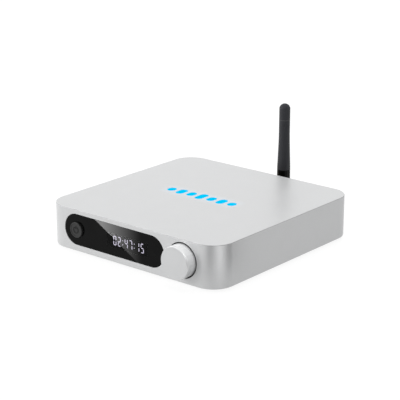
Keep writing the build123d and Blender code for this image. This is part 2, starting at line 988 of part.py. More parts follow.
def board_link():
    half = link_width / 2
    header = block(
        -half, half, front_board_back_y, board_front_y,
        board_top_z, board_top_z + link_height,
    )
    return header + block(
        -half, half, board_front_y, board_front_y + link_height,
        board_top_z, board_top_z + link_height,
    )


def board_place(shares):
    return shares[0] * board_half_width, board_middle_y + shares[1] * board_half_length


def on_board(size, places):
    placed = []
    for shares in places:
        x, y = board_place(shares)
        placed.append(block_at(size, x, y, board_top_z))
    return placed


def chips():
    placed = on_board(processor_size, [processor_shares])
    placed += on_board(memory_size, memory_shares)
    placed += on_board(dac_size, [dac_shares])
    return placed + on_board(amplifier_size, amplifier_shares)


def heat_spreader():
    z = board_top_z + processor_size[2] + thermal_pad_thickness
    x, y = board_place(processor_shares)
    size = (spreader_size[0], spreader_size[1], spreader_base_height)
    body = block_at(size, x, y, z)
    pitch = (spreader_size[0] - fin_thickness) / (fin_count - 1)
    fin = (fin_thickness, spreader_size[1], spreader_height)
    for index in range(fin_count):
        fin_x = x + (index - (fin_count - 1) / 2) * pitch
        body += block_at(fin, fin_x, y, z)
    return body


def thermal_pad():
    x, y = board_place(processor_shares)
    size = (processor_size[0], processor_size[1], thermal_pad_thickness)
    return block_at(size, x, y, board_top_z + processor_size[2])


def capacitors():
    foot = (capacitor_foot, capacitor_foot, capacitor_foot_height)
    can_height = capacitor_height - capacitor_foot_height
    cans = []
    for shares in capacitor_shares:
        x, y = board_place(shares)
        base = block_at(foot, x, y, board_top_z)
        z = board_top_z + capacitor_foot_height
        cans.append(base + rod_z(capacitor_radius, can_height, x, y, z))
    return cans


def radio_port():
    x, y = board_place(radio_shares)
    return x, y + radio_size[1] / 2 - radio_port_inset


def radio_module():
    x, y = board_place(radio_shares)
    module = block_at(radio_size, x, y, board_top_z)
    port_x, port_y = radio_port()
    z = board_top_z + radio_size[2]
    return module + rod_z(radio_port_radius, radio_port_height, port_x, port_y, z)


def shield_can():
    x, y = board_place(radio_shares)
    front = y - radio_size[1] / 2 + can_inset
    width = radio_size[0] - 2 * can_inset
    depth = radio_size[1] - can_port_room
    z = board_top_z + radio_size[2]
    return block_at((width, depth, can_height), x, front + depth / 2, z)


# Rear


def rear_panel():
    outline = RectangleRounded(panel_width, panel_height, panel_corner_radius)
    panel = along_y(outline, panel_thickness, 0, panel_inner_y, panel_z)
    # The back of the panel fills the opening inside the ledge that the panel rests on.
    back = RectangleRounded(
        panel_width - 2 * panel_ledge,
        panel_height - 2 * panel_ledge,
        panel_corner_radius - panel_ledge,
    )
    panel += along_y(back, panel_inner_y - rear_inner_y, 0, rear_inner_y, panel_z)
    for cut in port_cuts(rear_inner_y - overrun, panel_outer_y + overrun):
        panel -= cut
    return panel


def rca_block():
    back_y = rear_inner_y - rca_wall_gap
    left = min(rca_places().values()) - rca_block_side
    right = max(rca_places().values()) + rca_block_side
    return block(
        left, right, back_y - rca_block_depth, back_y,
        board_top_z, jack_z + rca_block_top,
    )


def rca_length():
    return rear_y + rca_proud - rear_inner_y + rca_wall_gap


def rca_shell(x):
    # The part that passes through the wall and the collar is a little slimmer.
    start = rear_inner_y - rca_wall_gap
    barrel_y = panel_outer_y + rca_collar_thickness + rca_barrel_gap
    tube = rod_y(rca_radius - rca_waist_step, rca_length(), x, start, jack_z)
    tube += rod_y(rca_radius, rear_y + rca_proud - barrel_y, x, barrel_y, jack_z)
    return tube - rod_y(rca_bore_radius, rca_length(), x, start, jack_z)


def rca_core(x):
    start = rear_inner_y - rca_wall_gap
    length = rca_length() - rca_core_recess
    core = rod_y(rca_bore_radius - press_slip, length, x, start, jack_z)
    return core - rod_y(rca_pin_radius, length, x, start, jack_z)


def rca_collar(x):
    ring = rod_y(rca_collar_radius, rca_collar_thickness, x, panel_outer_y, jack_z)
    hole = rca_radius - rca_waist_step + press_slip
    return ring - rod_y(hole, rca_collar_thickness, x, panel_outer_y, jack_z)


def shutter_axis():
    z = board_top_z + optical_socket_rise + optical_socket_height
    z -= shutter_top_gap + shutter_thickness / 2
    return rear_y - shutter_recess - shutter_thickness / 2, z


def optical_jack():
    half = optical_width / 2
    start = rear_y - optical_depth
    jack = block(
        optical_x - half, optical_x + half, start, rear_y,
        board_top_z, board_top_z + optical_height,
    )
    half = optical_socket_width / 2
    floor_z = board_top_z + optical_socket_rise
    jack -= block(
        optical_x - half, optical_x + half,
        rear_y - optical_socket_depth, rear_y,
        floor_z, floor_z + optical_socket_height,
    )
    y, z = shutter_axis()
    reach = optical_socket_width / 2 + shutter_pin_length
    radius = shutter_pin_radius + shutter_pin_gap
    jack -= rod_x(radius, 2 * reach, optical_x - reach, y, z)
    lens_y = rear_y - optical_socket_depth - lens_length
    lens_z = floor_z + optical_socket_height / 2
    return jack - rod_y(lens_radius + press_slip, lens_length, optical_x, lens_y, lens_z)


def optical_lens():
    lens_y = rear_y - optical_socket_depth - lens_length
    lens_z = board_top_z + optical_socket_rise + optical_socket_height / 2
    return rod_y(lens_radius, lens_length, optical_x, lens_y, lens_z)


def optical_shutter():
    y, z = shutter_axis()
    half = optical_socket_width / 2 - shutter_side_gap
    thick = shutter_thickness / 2
    bottom_z = board_top_z + optical_socket_rise + shutter_side_gap
    flap = block(optical_x - half, optical_x + half, y - thick, y + thick, bottom_z, z)
    flap += rod_x(thick, 2 * half, optical_x - half, y, z)
    reach = optical_socket_width / 2 + shutter_pin_length - shutter_side_gap
    return flap + rod_x(shutter_pin_radius, 2 * reach, optical_x - reach, y, z)


def lan_shell():
    half = lan_width / 2
    start = rear_y - lan_depth
    can = block(
        lan_x - half, lan_x + half, start, rear_y,
        board_top_z, board_top_z + lan_height,
    )
    half -= lan_skin
    return can - block(
        lan_x - half, lan_x + half, start + lan_skin, rear_y,
        board_top_z + lan_skin, board_top_z + lan_height - lan_skin,
    )


def lan_insert():
    half = lan_width / 2 - lan_skin - press_slip
    start = rear_y - lan_depth + lan_skin + press_slip
    low_z = board_top_z + lan_skin
    insert = block(
        lan_x - half, lan_x + half, start, rear_y,
        low_z, board_top_z + lan_height - lan_skin - press_slip,
    )
    cavity = lan_cavity_width / 2
    floor_z = board_top_z + lan_cavity_rise
    mouth_y = rear_y - lan_cavity_depth
    insert -= block(
        lan_x - cavity, lan_x + cavity, mouth_y, rear_y,
        floor_z, floor_z + lan_cavity_height,
    )
    notch = lan_notch_width / 2
    return insert - block(
        lan_x - notch, lan_x + notch, mouth_y, rear_y,
        floor_z + lan_cavity_height, floor_z + lan_cavity_height + lan_notch_height,
    )


def lan_contacts():
    floor_z = board_top_z + lan_cavity_rise
    y0 = rear_y - lan_cavity_depth
    half = lan_contact_width / 2
    strips = []
    for index in range(lan_contact_count):
        x = lan_x + (index - (lan_contact_count - 1) / 2) * lan_contact_pitch
        strips.append(block(
            x - half, x + half, y0, y0 + lan_contact_length,
            floor_z, floor_z + lan_contact_height,
        ))
    return strips


def pair_z():
    return board_top_z + pair_rise


def pairing_button():
    tip_y = rear_y + pair_proud
    flange_y = rear_inner_y - slip - pair_flange_thickness
    stem_y = flange_y - pair_stem
    pin = rod_y(pair_radius, tip_y - stem_y, pair_x, stem_y, pair_z())
    return pin + rod_y(pair_flange_radius, pair_flange_thickness, pair_x, flange_y, pair_z())


def pairing_switch():
    flange_y = rear_inner_y - slip - pair_flange_thickness
    front = flange_y - pair_stem - pair_travel - slip
    half = pair_switch_width / 2
    return block(
        pair_x - half, pair_x + half, front - pair_switch_depth, front,
        board_top_z, board_top_z + pair_switch_height,
    )


def usb_z():
    return board_top_z + usb_height / 2


def usb_shell():
    start = rear_y - usb_depth
    outer = SlotOverall(usb_width, usb_height)
    shell = along_y(outer, usb_depth, usb_x, start, usb_z())
    inner = SlotOverall(usb_width - 2 * usb_skin, usb_height - 2 * usb_skin)
    return shell - along_y(inner, usb_depth, usb_x, start, usb_z())


def usb_tongue():
    start = rear_y - usb_depth
    grow = 2 * usb_skin + 2 * press_slip
    back = SlotOverall(usb_width - grow, usb_height - grow)
    plug = along_y(back, usb_back_thickness, usb_x, start, usb_z())
    half = usb_tongue_width / 2
    blade = usb_tongue_height / 2
    return plug + block(
        usb_x - half, usb_x + half, start, start + usb_back_thickness + usb_tongue_length,
        usb_z() - blade, usb_z() + blade,
    )


# Antenna


def sma_connector():
    start = rear_inner_y
    body = rod_y(sma_radius, thread_end_y - start, 0, start, jack_z)
    flange = RegularPolygon(sma_flats / 2, 6, major_radius=False)
    body += along_y(flange, sma_flange_thickness, 0, start - sma_flange_thickness, jack_z)
    tail_y = start - sma_flange_thickness - sma_tail_length
    body += rod_y(sma_tail_radius, sma_tail_length, 0, tail_y, jack_z)
    bore_y = thread_end_y - sma_bore_depth
    return body - rod_y(sma_bore_radius, sma_bore_depth, 0, bore_y, jack_z)


def sma_washer():
    disc = rod_y(sma_washer_radius, sma_washer_thickness, 0, panel_outer_y, jack_z)
    return disc - rod_y(sma_radius + slip, sma_washer_thickness, 0, panel_outer_y, jack_z)


def sma_nut():
    outline = RegularPolygon(sma_flats / 2, 6, major_radius=False)
    outline -= Circle(sma_radius + slip)
    return along_y(outline, sma_nut_thickness, 0, sma_nut_y, jack_z)


def grooves(radius, depth, width, length, count):
    cuts = []
    for index in range(count):
        turn = Rot(0, 0, index * 360 / count)
        bar = Box(2 * depth, width, length, align=low)
        cuts.append(turn * Pos(radius, 0, 0) * bar)
    return cuts


def antenna_nut():
    nut = Cylinder(antenna_nut_radius, antenna_nut_length, align=low)
    bore = sma_radius + antenna_nut_bore_gap
    nut -= Cylinder(bore, antenna_nut_length - antenna_nut_lip, align=low)
    nut -= Cylinder(fork_neck_radius + slip, antenna_nut_length, align=low)
    cuts = grooves(
        antenna_nut_radius, antenna_nut_groove_depth, antenna_nut_groove_width,
        antenna_nut_length, antenna_nut_rib_count,
    )
    for cut in cuts:
        nut -= cut
    return Pos(0, antenna_nut_y, jack_z) * Rot(-90, 0, 0) * nut


def antenna_fork():
    lip_y = antenna_nut_end_y - antenna_nut_lip
    flange_y = lip_y - fork_flange_gap - fork_flange_thickness
    fork = rod_y(fork_flange_radius, fork_flange_thickness, 0, flange_y, jack_z)
    neck = fork_barrel_y - flange_y
    fork += rod_y(fork_neck_radius, neck, 0, flange_y, jack_z)
    fork += rod_y(fork_barrel_radius, fork_barrel_length, 0, fork_barrel_y, jack_z)
    cheek_y = fork_barrel_y + fork_barrel_length
    cheek = block(
        -fork_radius, fork_radius, cheek_y, antenna_y,
        jack_z - fork_radius, jack_z + fork_radius,
    )
    cheek += rod_x(fork_radius, 2 * fork_radius, -fork_radius, antenna_y, jack_z)
    end_y = antenna_y + fork_radius + overrun
    gap = fork_half_gap
    reach = fork_radius + overrun
    fork += cheek - block(-gap, gap, cheek_y, end_y, jack_z - reach, jack_z + reach)
    hole = tilt_pin_radius + press_slip
    return fork - rod_x(hole, 2 * fork_radius, -fork_radius, antenna_y, jack_z)


def tilt_pin():
    return rod_x(tilt_pin_radius, 2 * fork_radius, -fork_radius, antenna_y, jack_z)


def sleeve_bottom_z():
    return shell_bottom_z + sleeve_bottom_height


def antenna_knuckle():
    half = fork_half_gap - tongue_gap
    shoulder_z = jack_z + knuckle_rise
    tongue = block(
        -half, half, antenna_y - tongue_radius, antenna_y + tongue_radius, jack_z, shoulder_z
    )
    tongue += rod_x(tongue_radius, 2 * half, -half, antenna_y, jack_z)
    length = sleeve_bottom_z() - shoulder_z
    collar = Cylinder(knuckle_radius, length, align=low)
    cuts = grooves(
        knuckle_radius, knuckle_groove_depth, knuckle_groove_width,
        length, knuckle_groove_count,
    )
    for cut in cuts:
        collar -= cut
    knuckle = tongue + Pos(0, antenna_y, shoulder_z) * collar
    knuckle += rod_z(spigot_radius, spigot_length, 0, antenna_y, sleeve_bottom_z())
    seat_z = sleeve_bottom_z() + spigot_length - radiator_seat_depth
    seat_radius = radiator_radius + press_slip
    knuckle -= rod_z(seat_radius, radiator_seat_depth, 0, antenna_y, seat_z)
    hole = tilt_pin_radius + tilt_pin_gap
    return knuckle - rod_x(hole, 2 * half, -half, antenna_y, jack_z)


def antenna_sleeve():
    bottom_z = sleeve_bottom_z()
    top_z = bottom_z + sleeve_length
    taper = []
    for up, out in zip(sleeve_height_shares, sleeve_radius_shares):
        taper.append((knuckle_radius * out, bottom_z + sleeve_length * up))
    tip_radius = taper[-1][0]
    shoulder_z = top_z - sleeve_dome_rise
    bore_z = top_z - sleeve_tip_thickness
    wide = spigot_radius + press_slip
    wide_z = bottom_z + spigot_length + spigot_end_gap
    side = [taper[-1]]
    for drop in groove_drops:
        low_z = top_z - drop - groove_width / 2
        high_z = low_z + groove_width
        side += [(tip_radius, low_z), (tip_radius - groove_depth, low_z)]
        side += [(tip_radius - groove_depth, high_z), (tip_radius, high_z)]
    side.append((tip_radius, shoulder_z))
    rise = sleeve_dome_rise
    dome_radius = (tip_radius**2 + rise**2) / (2 * rise)
    half_turn = asin(tip_radius / dome_radius) / 2
    dome_middle = (
        dome_radius * sin(half_turn), top_z - dome_radius * (1 - cos(half_turn))
    )
    edges = [
        Line((wide, bottom_z), taper[0]),
        Spline(*taper, tangents=((0, 1), (0, 1))),
        Polyline(*side),
        ThreePointArc((tip_radius, shoulder_z), dome_middle, (0, top_z)),
        Polyline(
            (0, top_z), (0, bore_z), (sleeve_bore_radius, bore_z),
            (sleeve_bore_radius, wide_z), (wide, wide_z), (wide, bottom_z),
        ),
    ]
    sleeve = revolve(Plane.XZ * make_face(edges), Axis.Z, 360)
    return Pos(0, antenna_y, 0) * sleeve


def antenna_radiator():
    start_z = sleeve_bottom_z() + spigot_length - radiator_seat_depth
    end_z = sleeve_bottom_z() + sleeve_length - sleeve_tip_thickness - radiator_top_gap
    return rod_z(radiator_radius, end_z - start_z, 0, antenna_y, start_z)


def lead_plug_z():
    return board_top_z + radio_size[2] + radio_port_height


def antenna_lead_plug():
    x, y = radio_port()
    return block_at(plug_size, x, y, lead_plug_z())


def antenna_lead():
    # The lead runs from the socket's tail forward, down and across to the radio.
    port_x, port_y = radio_port()
    low_z = lead_plug_z() + plug_size[2] / 2
    start = Vector(0, rear_inner_y - sma_flange_thickness - sma_tail_length, jack_z)
    end = Vector(port_x, port_y + plug_size[1] / 2, low_z)
    first = start - Vector(0, lead_end_run, 0)
    second = end + Vector(0, lead_end_run, 0)
    points = [start, first, second, end]
    radii = []
    for index in range(1, len(points) - 1):
        before = points[index] - points[index - 1]
        after = points[index + 1] - points[index]
        turn = before.get_angle(after) * pi / 180
        radii.append(bend_share * min(before.length, after.length) / tan(turn / 2))
    path = FilletPolyline(*points, radius=radii)
    section = Plane(origin=start, z_dir=(0, -1, 0)) * Circle(lead_radius)
    lead = sweep(section, path=path)
    print("antenna lead: bend radii", [round(radius, 2) for radius in radii])
    print("antenna lead: volume share", lead.volume / (pi * lead_radius**2 * path.length))
    return lead


save("housing_shell", housing_shell())
save("base_plate", base_plate())
save("rubber_feet", *rubber_feet())
save("base_screws", *base_screws())
save("display_window", display_window())
save("window_adhesive", window_adhesive())
save("power_button", power_button())
save("power_switch", power_switch())
save("knob_cap", knob_cap())
save("knob_insert", knob_insert())
save("encoder_shaft", encoder_shaft())
save("encoder_plunger", encoder_plunger())
save("encoder_housing", encoder_housing())
save("encoder_bushing", encoder_bushing())
save("encoder_nut", encoder_washer(), encoder_nut())
save("knob_well", knob_well())
save("oled_panel", oled_panel())
save("display_carrier", display_carrier())
save("oled_flex", oled_flex())
save("front_board", front_board())
save("light_guide", light_guide())
save("light_board", light_board())
save("light_board_leds", *light_board_leds())
save("main_board", main_board())
save("board_screws", *front_board_screws(), *light_board_screws(), *main_board_screws())
save("board_link", board_link())
save("chips", *chips())
save("thermal_pad", thermal_pad())
save("heat_spreader", heat_spreader())
save("crystals", *on_board(crystal_size, crystal_shares))
save("inductors", *on_board(inductor_size, inductor_shares))
save("film_capacitors", *on_board(film_size, film_shares))
save("capacitors", *capacitors())
save("radio_module", radio_module())
save("shield_can", shield_can())
save("rear_panel", rear_panel())
save("rca_block", rca_block())
save("rca_shells", *[rca_shell(x) for x in rca_places().values()])
save("rca_left_core", rca_core(rca_left_x), rca_collar(rca_left_x))
save("rca_right_core", rca_core(rca_right_x), rca_collar(rca_right_x))
save("optical_jack", optical_jack())
save("optical_lens", optical_lens())
save("optical_shutter", optical_shutter())
save("lan_shell", lan_shell())
save("lan_insert", lan_insert())
save("lan_contacts", *lan_contacts())
save("pairing_button", pairing_button())
save("pairing_switch", pairing_switch())
save("usb_shell", usb_shell())
save("usb_tongue", usb_tongue())
save("antenna_connector", sma_connector())
save("antenna_connector_nut", sma_washer(), sma_nut())
save("antenna_nut", antenna_nut())
save("antenna_fork", antenna_fork())
save("antenna_tilt_pin", tilt_pin())
save("antenna_knuckle", antenna_knuckle())
save("antenna_sleeve", antenna_sleeve())
save("antenna_radiator", antenna_radiator())
save("antenna_lead", antenna_lead())
save("antenna_lead_plug", antenna_lead_plug())
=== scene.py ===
import math

import bmesh
import bpy
from mathutils import Matrix, Vector


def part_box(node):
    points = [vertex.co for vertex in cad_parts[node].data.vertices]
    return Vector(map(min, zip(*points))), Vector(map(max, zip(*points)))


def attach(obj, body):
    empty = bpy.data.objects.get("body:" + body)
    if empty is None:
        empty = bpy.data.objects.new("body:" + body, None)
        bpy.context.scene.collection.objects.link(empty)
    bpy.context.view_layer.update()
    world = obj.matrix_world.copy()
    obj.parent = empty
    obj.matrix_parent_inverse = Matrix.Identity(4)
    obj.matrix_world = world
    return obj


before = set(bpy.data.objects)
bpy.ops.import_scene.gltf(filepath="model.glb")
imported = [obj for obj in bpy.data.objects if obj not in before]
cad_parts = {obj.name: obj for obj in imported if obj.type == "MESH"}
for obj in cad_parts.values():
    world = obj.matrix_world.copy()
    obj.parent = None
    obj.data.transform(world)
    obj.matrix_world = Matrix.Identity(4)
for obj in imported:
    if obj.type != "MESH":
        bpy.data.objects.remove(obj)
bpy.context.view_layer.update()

# A compact network music streamer. Every length is in metres and every place is
# in the streamer's own frame: X right, Y back, Z up, the origin on the standing plane.
# Angles are in degrees, and an azimuth goes from the front towards the right.

MM = 0.001
scene = bpy.context.scene
scene.view_settings.view_transform = "Standard"

# ---------------------------------------------------------------- camera

CAMERA_AZIMUTH = 39.79
CAMERA_ELEVATION = 18.54
CAMERA_DISTANCE = 0.770
CAMERA_TARGET = Vector((0, 0, 0.0134))
CAMERA_LENS = 125.1
CAMERA_SENSOR = 36.0
CAMERA_SHIFT = (-0.0035, 0.0435)
CAMERA_CLIP = (0.05, 20)


def direction(azimuth, elevation):
    """The way from the object to something seen at that azimuth and elevation."""
    a, e = math.radians(azimuth), math.radians(elevation)
    return Vector((math.sin(a) * math.cos(e), -math.cos(a) * math.cos(e), math.sin(e)))


def stand_off(thing, target, azimuth, elevation, distance):
    """Puts a camera or lamp in the scene, off its target and turned to look at it."""
    back = direction(azimuth, elevation)
    thing.location = target + back * distance
    thing.rotation_mode = "QUATERNION"
    thing.rotation_quaternion = (-back).to_track_quat("-Z", "Y")
    scene.collection.objects.link(thing)


def make_camera():
    data = bpy.data.cameras.new("camera")
    data.lens = CAMERA_LENS
    data.sensor_width = CAMERA_SENSOR
    data.shift_x, data.shift_y = CAMERA_SHIFT
    data.clip_start, data.clip_end = CAMERA_CLIP
    camera = bpy.data.objects.new("camera", data)
    stand_off(camera, CAMERA_TARGET, CAMERA_AZIMUTH, CAMERA_ELEVATION, CAMERA_DISTANCE)
    scene.camera = camera


# ---------------------------------------------------------------- node helpers

# Nearly all of a noise texture's values lie between these two.
NOISE_LOW, NOISE_HIGH = 0.3, 0.7
BEVEL_SAMPLES = 6
# The cosine of the turn at which an edge starts to count, and that at which it is full.
EDGE_TURN = (0.99, 0.80)
# The grain breaks up the edge tone, wear with painted edge light: between these two of its
# values, the edge tone has these shares.
EDGE_TONE_GRAIN = (0.35, 0.65)
EDGE_TONE_SHARE = (0.3, 1.0)


def rgba(colour):
    return (colour[0], colour[1], colour[2], 1.0)


def grey(level):
    return (level, level, level)


WHITE = rgba(grey(1.0))


def fill_socket(tree, socket, value):
    """Links the socket to a value that is itself a socket, or else sets it."""
    if isinstance(value, bpy.types.NodeSocket):
        tree.links.new(value, socket)
    else:
        socket.default_value = value


def add_node(tree, kind, inputs=None, **settings):
    """A shader node with its settings made, its sockets filled or linked."""
    node = tree.nodes.new(kind)
    for key, value in settings.items():
        setattr(node, key, value)
    for key, value in (inputs or {}).items():
        fill_socket(tree, node.inputs[key], value)
    return node


def object_place(tree):
    return tree.nodes.new("ShaderNodeTexCoord").outputs["Object"]


def along_axis(tree, vector, axis):
    """The vector's measure along one axis, "X", "Y" or "Z"."""
    return add_node(tree, "ShaderNodeSeparateXYZ", {0: vector}).outputs[axis]


def maths(tree, operation, a, b=None, clamp=False):
    inputs = {0: a} if b is None else {0: a, 1: b}
    node = add_node(tree, "ShaderNodeMath", inputs, operation=operation, use_clamp=clamp)
    return node.outputs[0]


def vector_maths(tree, operation, a, b=None, output="Vector"):
    inputs = {0: a} if b is None else {0: a, 1: b}
    node = add_node(tree, "ShaderNodeVectorMath", inputs, operation=operation)
    return node.outputs[output]


def ranged(tree, value, from_low, from_high, to_low, to_high, smooth=False):
    node = add_node(
        tree,
        "ShaderNodeMapRange",
        {0: value, 1: from_low, 2: from_high, 3: to_low, 4: to_high},
        interpolation_type="SMOOTHSTEP" if smooth else "LINEAR",
    )
    return node.outputs["Result"]


def noise_ranged(tree, texture, low, high):
    """A noise texture spread from low to high."""
    return ranged(tree, texture, NOISE_LOW, NOISE_HIGH, low, high)


def mixed(tree, factor, a, b, blend="MIX"):
    """Two colours mixed by a factor. A colour is three numbers or a socket."""
    node = add_node(tree, "ShaderNodeMix", data_type="RGBA", blend_type=blend)
    fill_socket(tree, node.inputs[0], factor)
    for index, colour in ((6, a), (7, b)):
        plain = not isinstance(colour, bpy.types.NodeSocket)
        fill_socket(tree, node.inputs[index], rgba(colour) if plain else colour)
    return node.outputs[2]


def noise(tree, place, size, detail, roughness):
    """Noise whose features are about size metres across."""
    node = add_node(
        tree,
        "ShaderNodeTexNoise",
        {"Vector": place, "Scale": 1 / size, "Detail": detail, "Roughness": roughness},
    )
    return node.outputs[0]


def rounded_normal(tree, radius):
    return add_node(
        tree, "ShaderNodeBevel", {"Radius": radius}, samples=BEVEL_SAMPLES
    ).outputs[0]


def surface_normal(tree):
    return tree.nodes.new("ShaderNodeNewGeometry").outputs["Normal"]


def edge_share(tree, radius):
    """One on edges sharper than the radius and nothing on flat places."""
    turned = vector_maths(
        tree, "DOT_PRODUCT", rounded_normal(tree, radius), surface_normal(tree), "Value"
    )
    return ranged(tree, turned, *EDGE_TURN, 0.0, 1.0)


def blank_material(name):
    material = bpy.data.materials.new(name)
    material.use_nodes = True
    tree = material.node_tree
    tree.nodes.clear()
    output = tree.nodes.new("ShaderNodeOutputMaterial")
    return material, tree, output.inputs[0]


def new_material(name, colour, roughness, metallic=0.0, specular=0.5):
    material, tree, surface = blank_material(name)
    shader = tree.nodes.new("ShaderNodeBsdfPrincipled")
    tree.links.new(shader.outputs[0], surface)
    shader.inputs["Base Color"].default_value = rgba(colour)
    shader.inputs["Roughness"].default_value = roughness
    shader.inputs["Metallic"].default_value = metallic
    shader.inputs["Specular IOR Level"].default_value = specular
    material.diffuse_color = rgba(colour)
    return material, tree, shader, object_place(tree)


def shader_of(material):
    return next(n for n in material.node_tree.nodes if n.type == "BSDF_PRINCIPLED")


def base_tone(material):
    """The socket that a finished material takes its base colour from."""
    return shader_of(material).inputs["Base Color"].links[0].from_socket


def paint_over(material, share, tone):
    """Changes the material's base colour to the tone by that share."""
    tree = material.node_tree
    painted = mixed(tree, share, base_tone(material), tone)
    tree.links.new(painted, shader_of(material).inputs["Base Color"])


def finished(
    name,
    colour,
    roughness,
    grain,
    depth,
    mottle,
    mottle_amount,
    grain_amount,
    roughness_spread,
    edge,
    edge_colour,
    edge_amount=0.5,
    metallic=0.0,
    specular=0.5,
):
    """A surface with fine grain in its relief, mottled colour and gloss, and edges toned to
    edge_colour: wear, which is also a painted highlight where the edges are lighter and a
    painted shade where they are darker.
    """
    material, tree, shader, place = new_material(
        name, colour, roughness, metallic, specular
    )
    fine = noise(tree, place, grain, 4.0, 0.6)
    broad = noise(tree, place, mottle, 2.0, 0.5)
    low = [c * (1 - mottle_amount) for c in colour]
    high = [min(1.0, c * (1 + mottle_amount)) for c in colour]
    tone = mixed(tree, noise_ranged(tree, broad, 0.0, 1.0), low, high)
    speck = noise_ranged(tree, fine, 1 - grain_amount, 1 + grain_amount)
    speck_colour = add_node(
        tree, "ShaderNodeCombineColor", {0: speck, 1: speck, 2: speck}
    ).outputs[0]
    tone = mixed(tree, 1.0, tone, speck_colour, "MULTIPLY")
    if edge:
        # Edges toned to edge_colour: wear, and a painted highlight where lighter, a painted
        # shade where darker.
        edge_wear_and_light = edge_share(tree, edge)
        broken = ranged(tree, fine, *EDGE_TONE_GRAIN, *EDGE_TONE_SHARE)
        edge_wear_and_light = maths(tree, "MULTIPLY", edge_wear_and_light, broken)
        edge_wear_and_light = maths(tree, "MULTIPLY", edge_wear_and_light, edge_amount)
        tone = mixed(tree, edge_wear_and_light, tone, edge_colour)
    tree.links.new(tone, shader.inputs["Base Color"])
    gloss = noise_ranged(
        tree, broad, roughness - roughness_spread, roughness + roughness_spread
    )
    tree.links.new(gloss, shader.inputs["Roughness"])
    bump_inputs = {"Height": fine, "Strength": 1.0, "Distance": depth}
    if edge:
        bump_inputs["Normal"] = rounded_normal(tree, edge)
    relief = add_node(tree, "ShaderNodeBump", bump_inputs)
    tree.links.new(relief.outputs[0], shader.inputs["Normal"])
    return material


# ---------------------------------------------------------------- stage and light

ROOM_LIGHT = 0.36
FLOOR_SIDE = 9.0
FLOOR_COLOUR = 0.18
FLOOR_BOUNCE = 0.50
FLOOR_SHOWN_COLOUR = 0.15
FLOOR_SHOWN_GLOW = 0.90

LAMP_TARGET = Vector((0, 0, 12 * MM))
# Each soft box's azimuth, elevation, distance, width and height, and its strength:
# the light, in whites, that it gives a surface turned to it.
SOFT_BOXES = {
    "left_box": (-42, 18, 1.3, 0.9, 0.6, 0.50),
    "overhead_box": (200, 75, 1.2, 0.9, 0.9, 0.68),
    "right_box": (50, 30, 1.0, 0.4, 0.4, 0.03),
    "knob_box": (88, 54, 0.8, 0.25, 0.25, 0.65),
    "back_left_box": (-102, 5, 1.2, 0.3, 0.35, 0.44),
}
# These light the streamer but don't show in its gloss.
BOXES_OUT_OF_GLOSS = ("overhead_box", "back_left_box")


def white_background(tree, shown, unseen):
    """Mixes shown, for rays of sight, gloss and glass, with unseen, for the rest."""
    path = tree.nodes.new("ShaderNodeLightPath").outputs
    seen = maths(tree, "ADD", path["Is Camera Ray"], path["Is Glossy Ray"])
    seen = maths(tree, "ADD", seen, path["Is Transmission Ray"], clamp=True)
    mix = add_node(tree, "ShaderNodeMixShader", {0: seen, 1: unseen, 2: shown})
    return mix.outputs[0]


def make_room():
    world = bpy.data.worlds.new("room")
    scene.world = world
    world.use_nodes = True
    tree = world.node_tree
    tree.nodes.clear()
    output = tree.nodes.new("ShaderNodeOutputWorld")
    shown = add_node(tree, "ShaderNodeBackground", {0: WHITE, 1: 1.0})
    unseen = add_node(tree, "ShaderNodeBackground", {0: WHITE, 1: ROOM_LIGHT})
    mix = white_background(tree, shown.outputs[0], unseen.outputs[0])
    tree.links.new(mix, output.inputs[0])


def glowing_paper(tree, colour, glow):
    plain = add_node(tree, "ShaderNodeBsdfDiffuse", {0: rgba(grey(colour))})
    light = add_node(tree, "ShaderNodeEmission", {0: WHITE, 1: glow})
    both = add_node(tree, "ShaderNodeAddShader", {0: plain.outputs[0], 1: light.outputs[0]})
    return both.outputs[0]


def make_floor():
    bm = bmesh.new()
    bmesh.ops.create_grid(bm, x_segments=1, y_segments=1, size=FLOOR_SIDE / 2)
    floor = object_from(bm, "floor")
    material, tree, surface = blank_material("floor_paper")
    unseen = glowing_paper(tree, FLOOR_COLOUR, FLOOR_BOUNCE)
    shown = glowing_paper(tree, FLOOR_SHOWN_COLOUR, FLOOR_SHOWN_GLOW)
    tree.links.new(white_background(tree, shown, unseen), surface)
    floor.data.materials.append(material)


def soft_box(name, azimuth, elevation, distance, width, height, strength):
    data = bpy.data.lights.new(name, "AREA")
    data.shape = "RECTANGLE"
    data.size, data.size_y = width, height
    data.energy = strength * math.pi**2 * distance**2
    lamp = bpy.data.objects.new(name, data)
    stand_off(lamp, LAMP_TARGET, azimuth, elevation, distance)
    lamp.visible_camera = False
    return lamp


def shines_only_on(source, node):
    lit = bpy.data.collections.new("lit_by_" + source.name)
    lit.objects.link(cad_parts[node])
    source.light_linking.receiver_collection = lit


def light_studio():
    lamps = {name: soft_box(name, *values) for name, values in SOFT_BOXES.items()}
    for name in BOXES_OUT_OF_GLOSS:
        lamps[name].visible_glossy = False
    shines_only_on(lamps["knob_box"], "knob_cap")


def studio_card(bm, name, material):
    """A card beside the streamer that shows only in its gloss."""
    card = object_from(bm, name)
    card.data.materials.append(material)
    card.visible_camera = False
    card.visible_diffuse = False
    card.visible_transmission = False
    card.visible_shadow = False
    return card


# The cards shade and light the rounded corner between the front and the right side.
# Each has the azimuth and distance that it stands at from that corner, its width, and
# its glow, in whites.
CORNER_CENTRE = (47.75 * MM, -47.75 * MM)
CORNER_CARD_HEIGHT = 23 * MM
CORNER_CARDS = (
    ("front_flag", 24, 46 * MM, 24 * MM, 0.0),
    ("corner_card", 66, 46 * MM, 16 * MM, 2.2),
    ("side_flag", 110, 44 * MM, 26 * MM, 0.0),
)


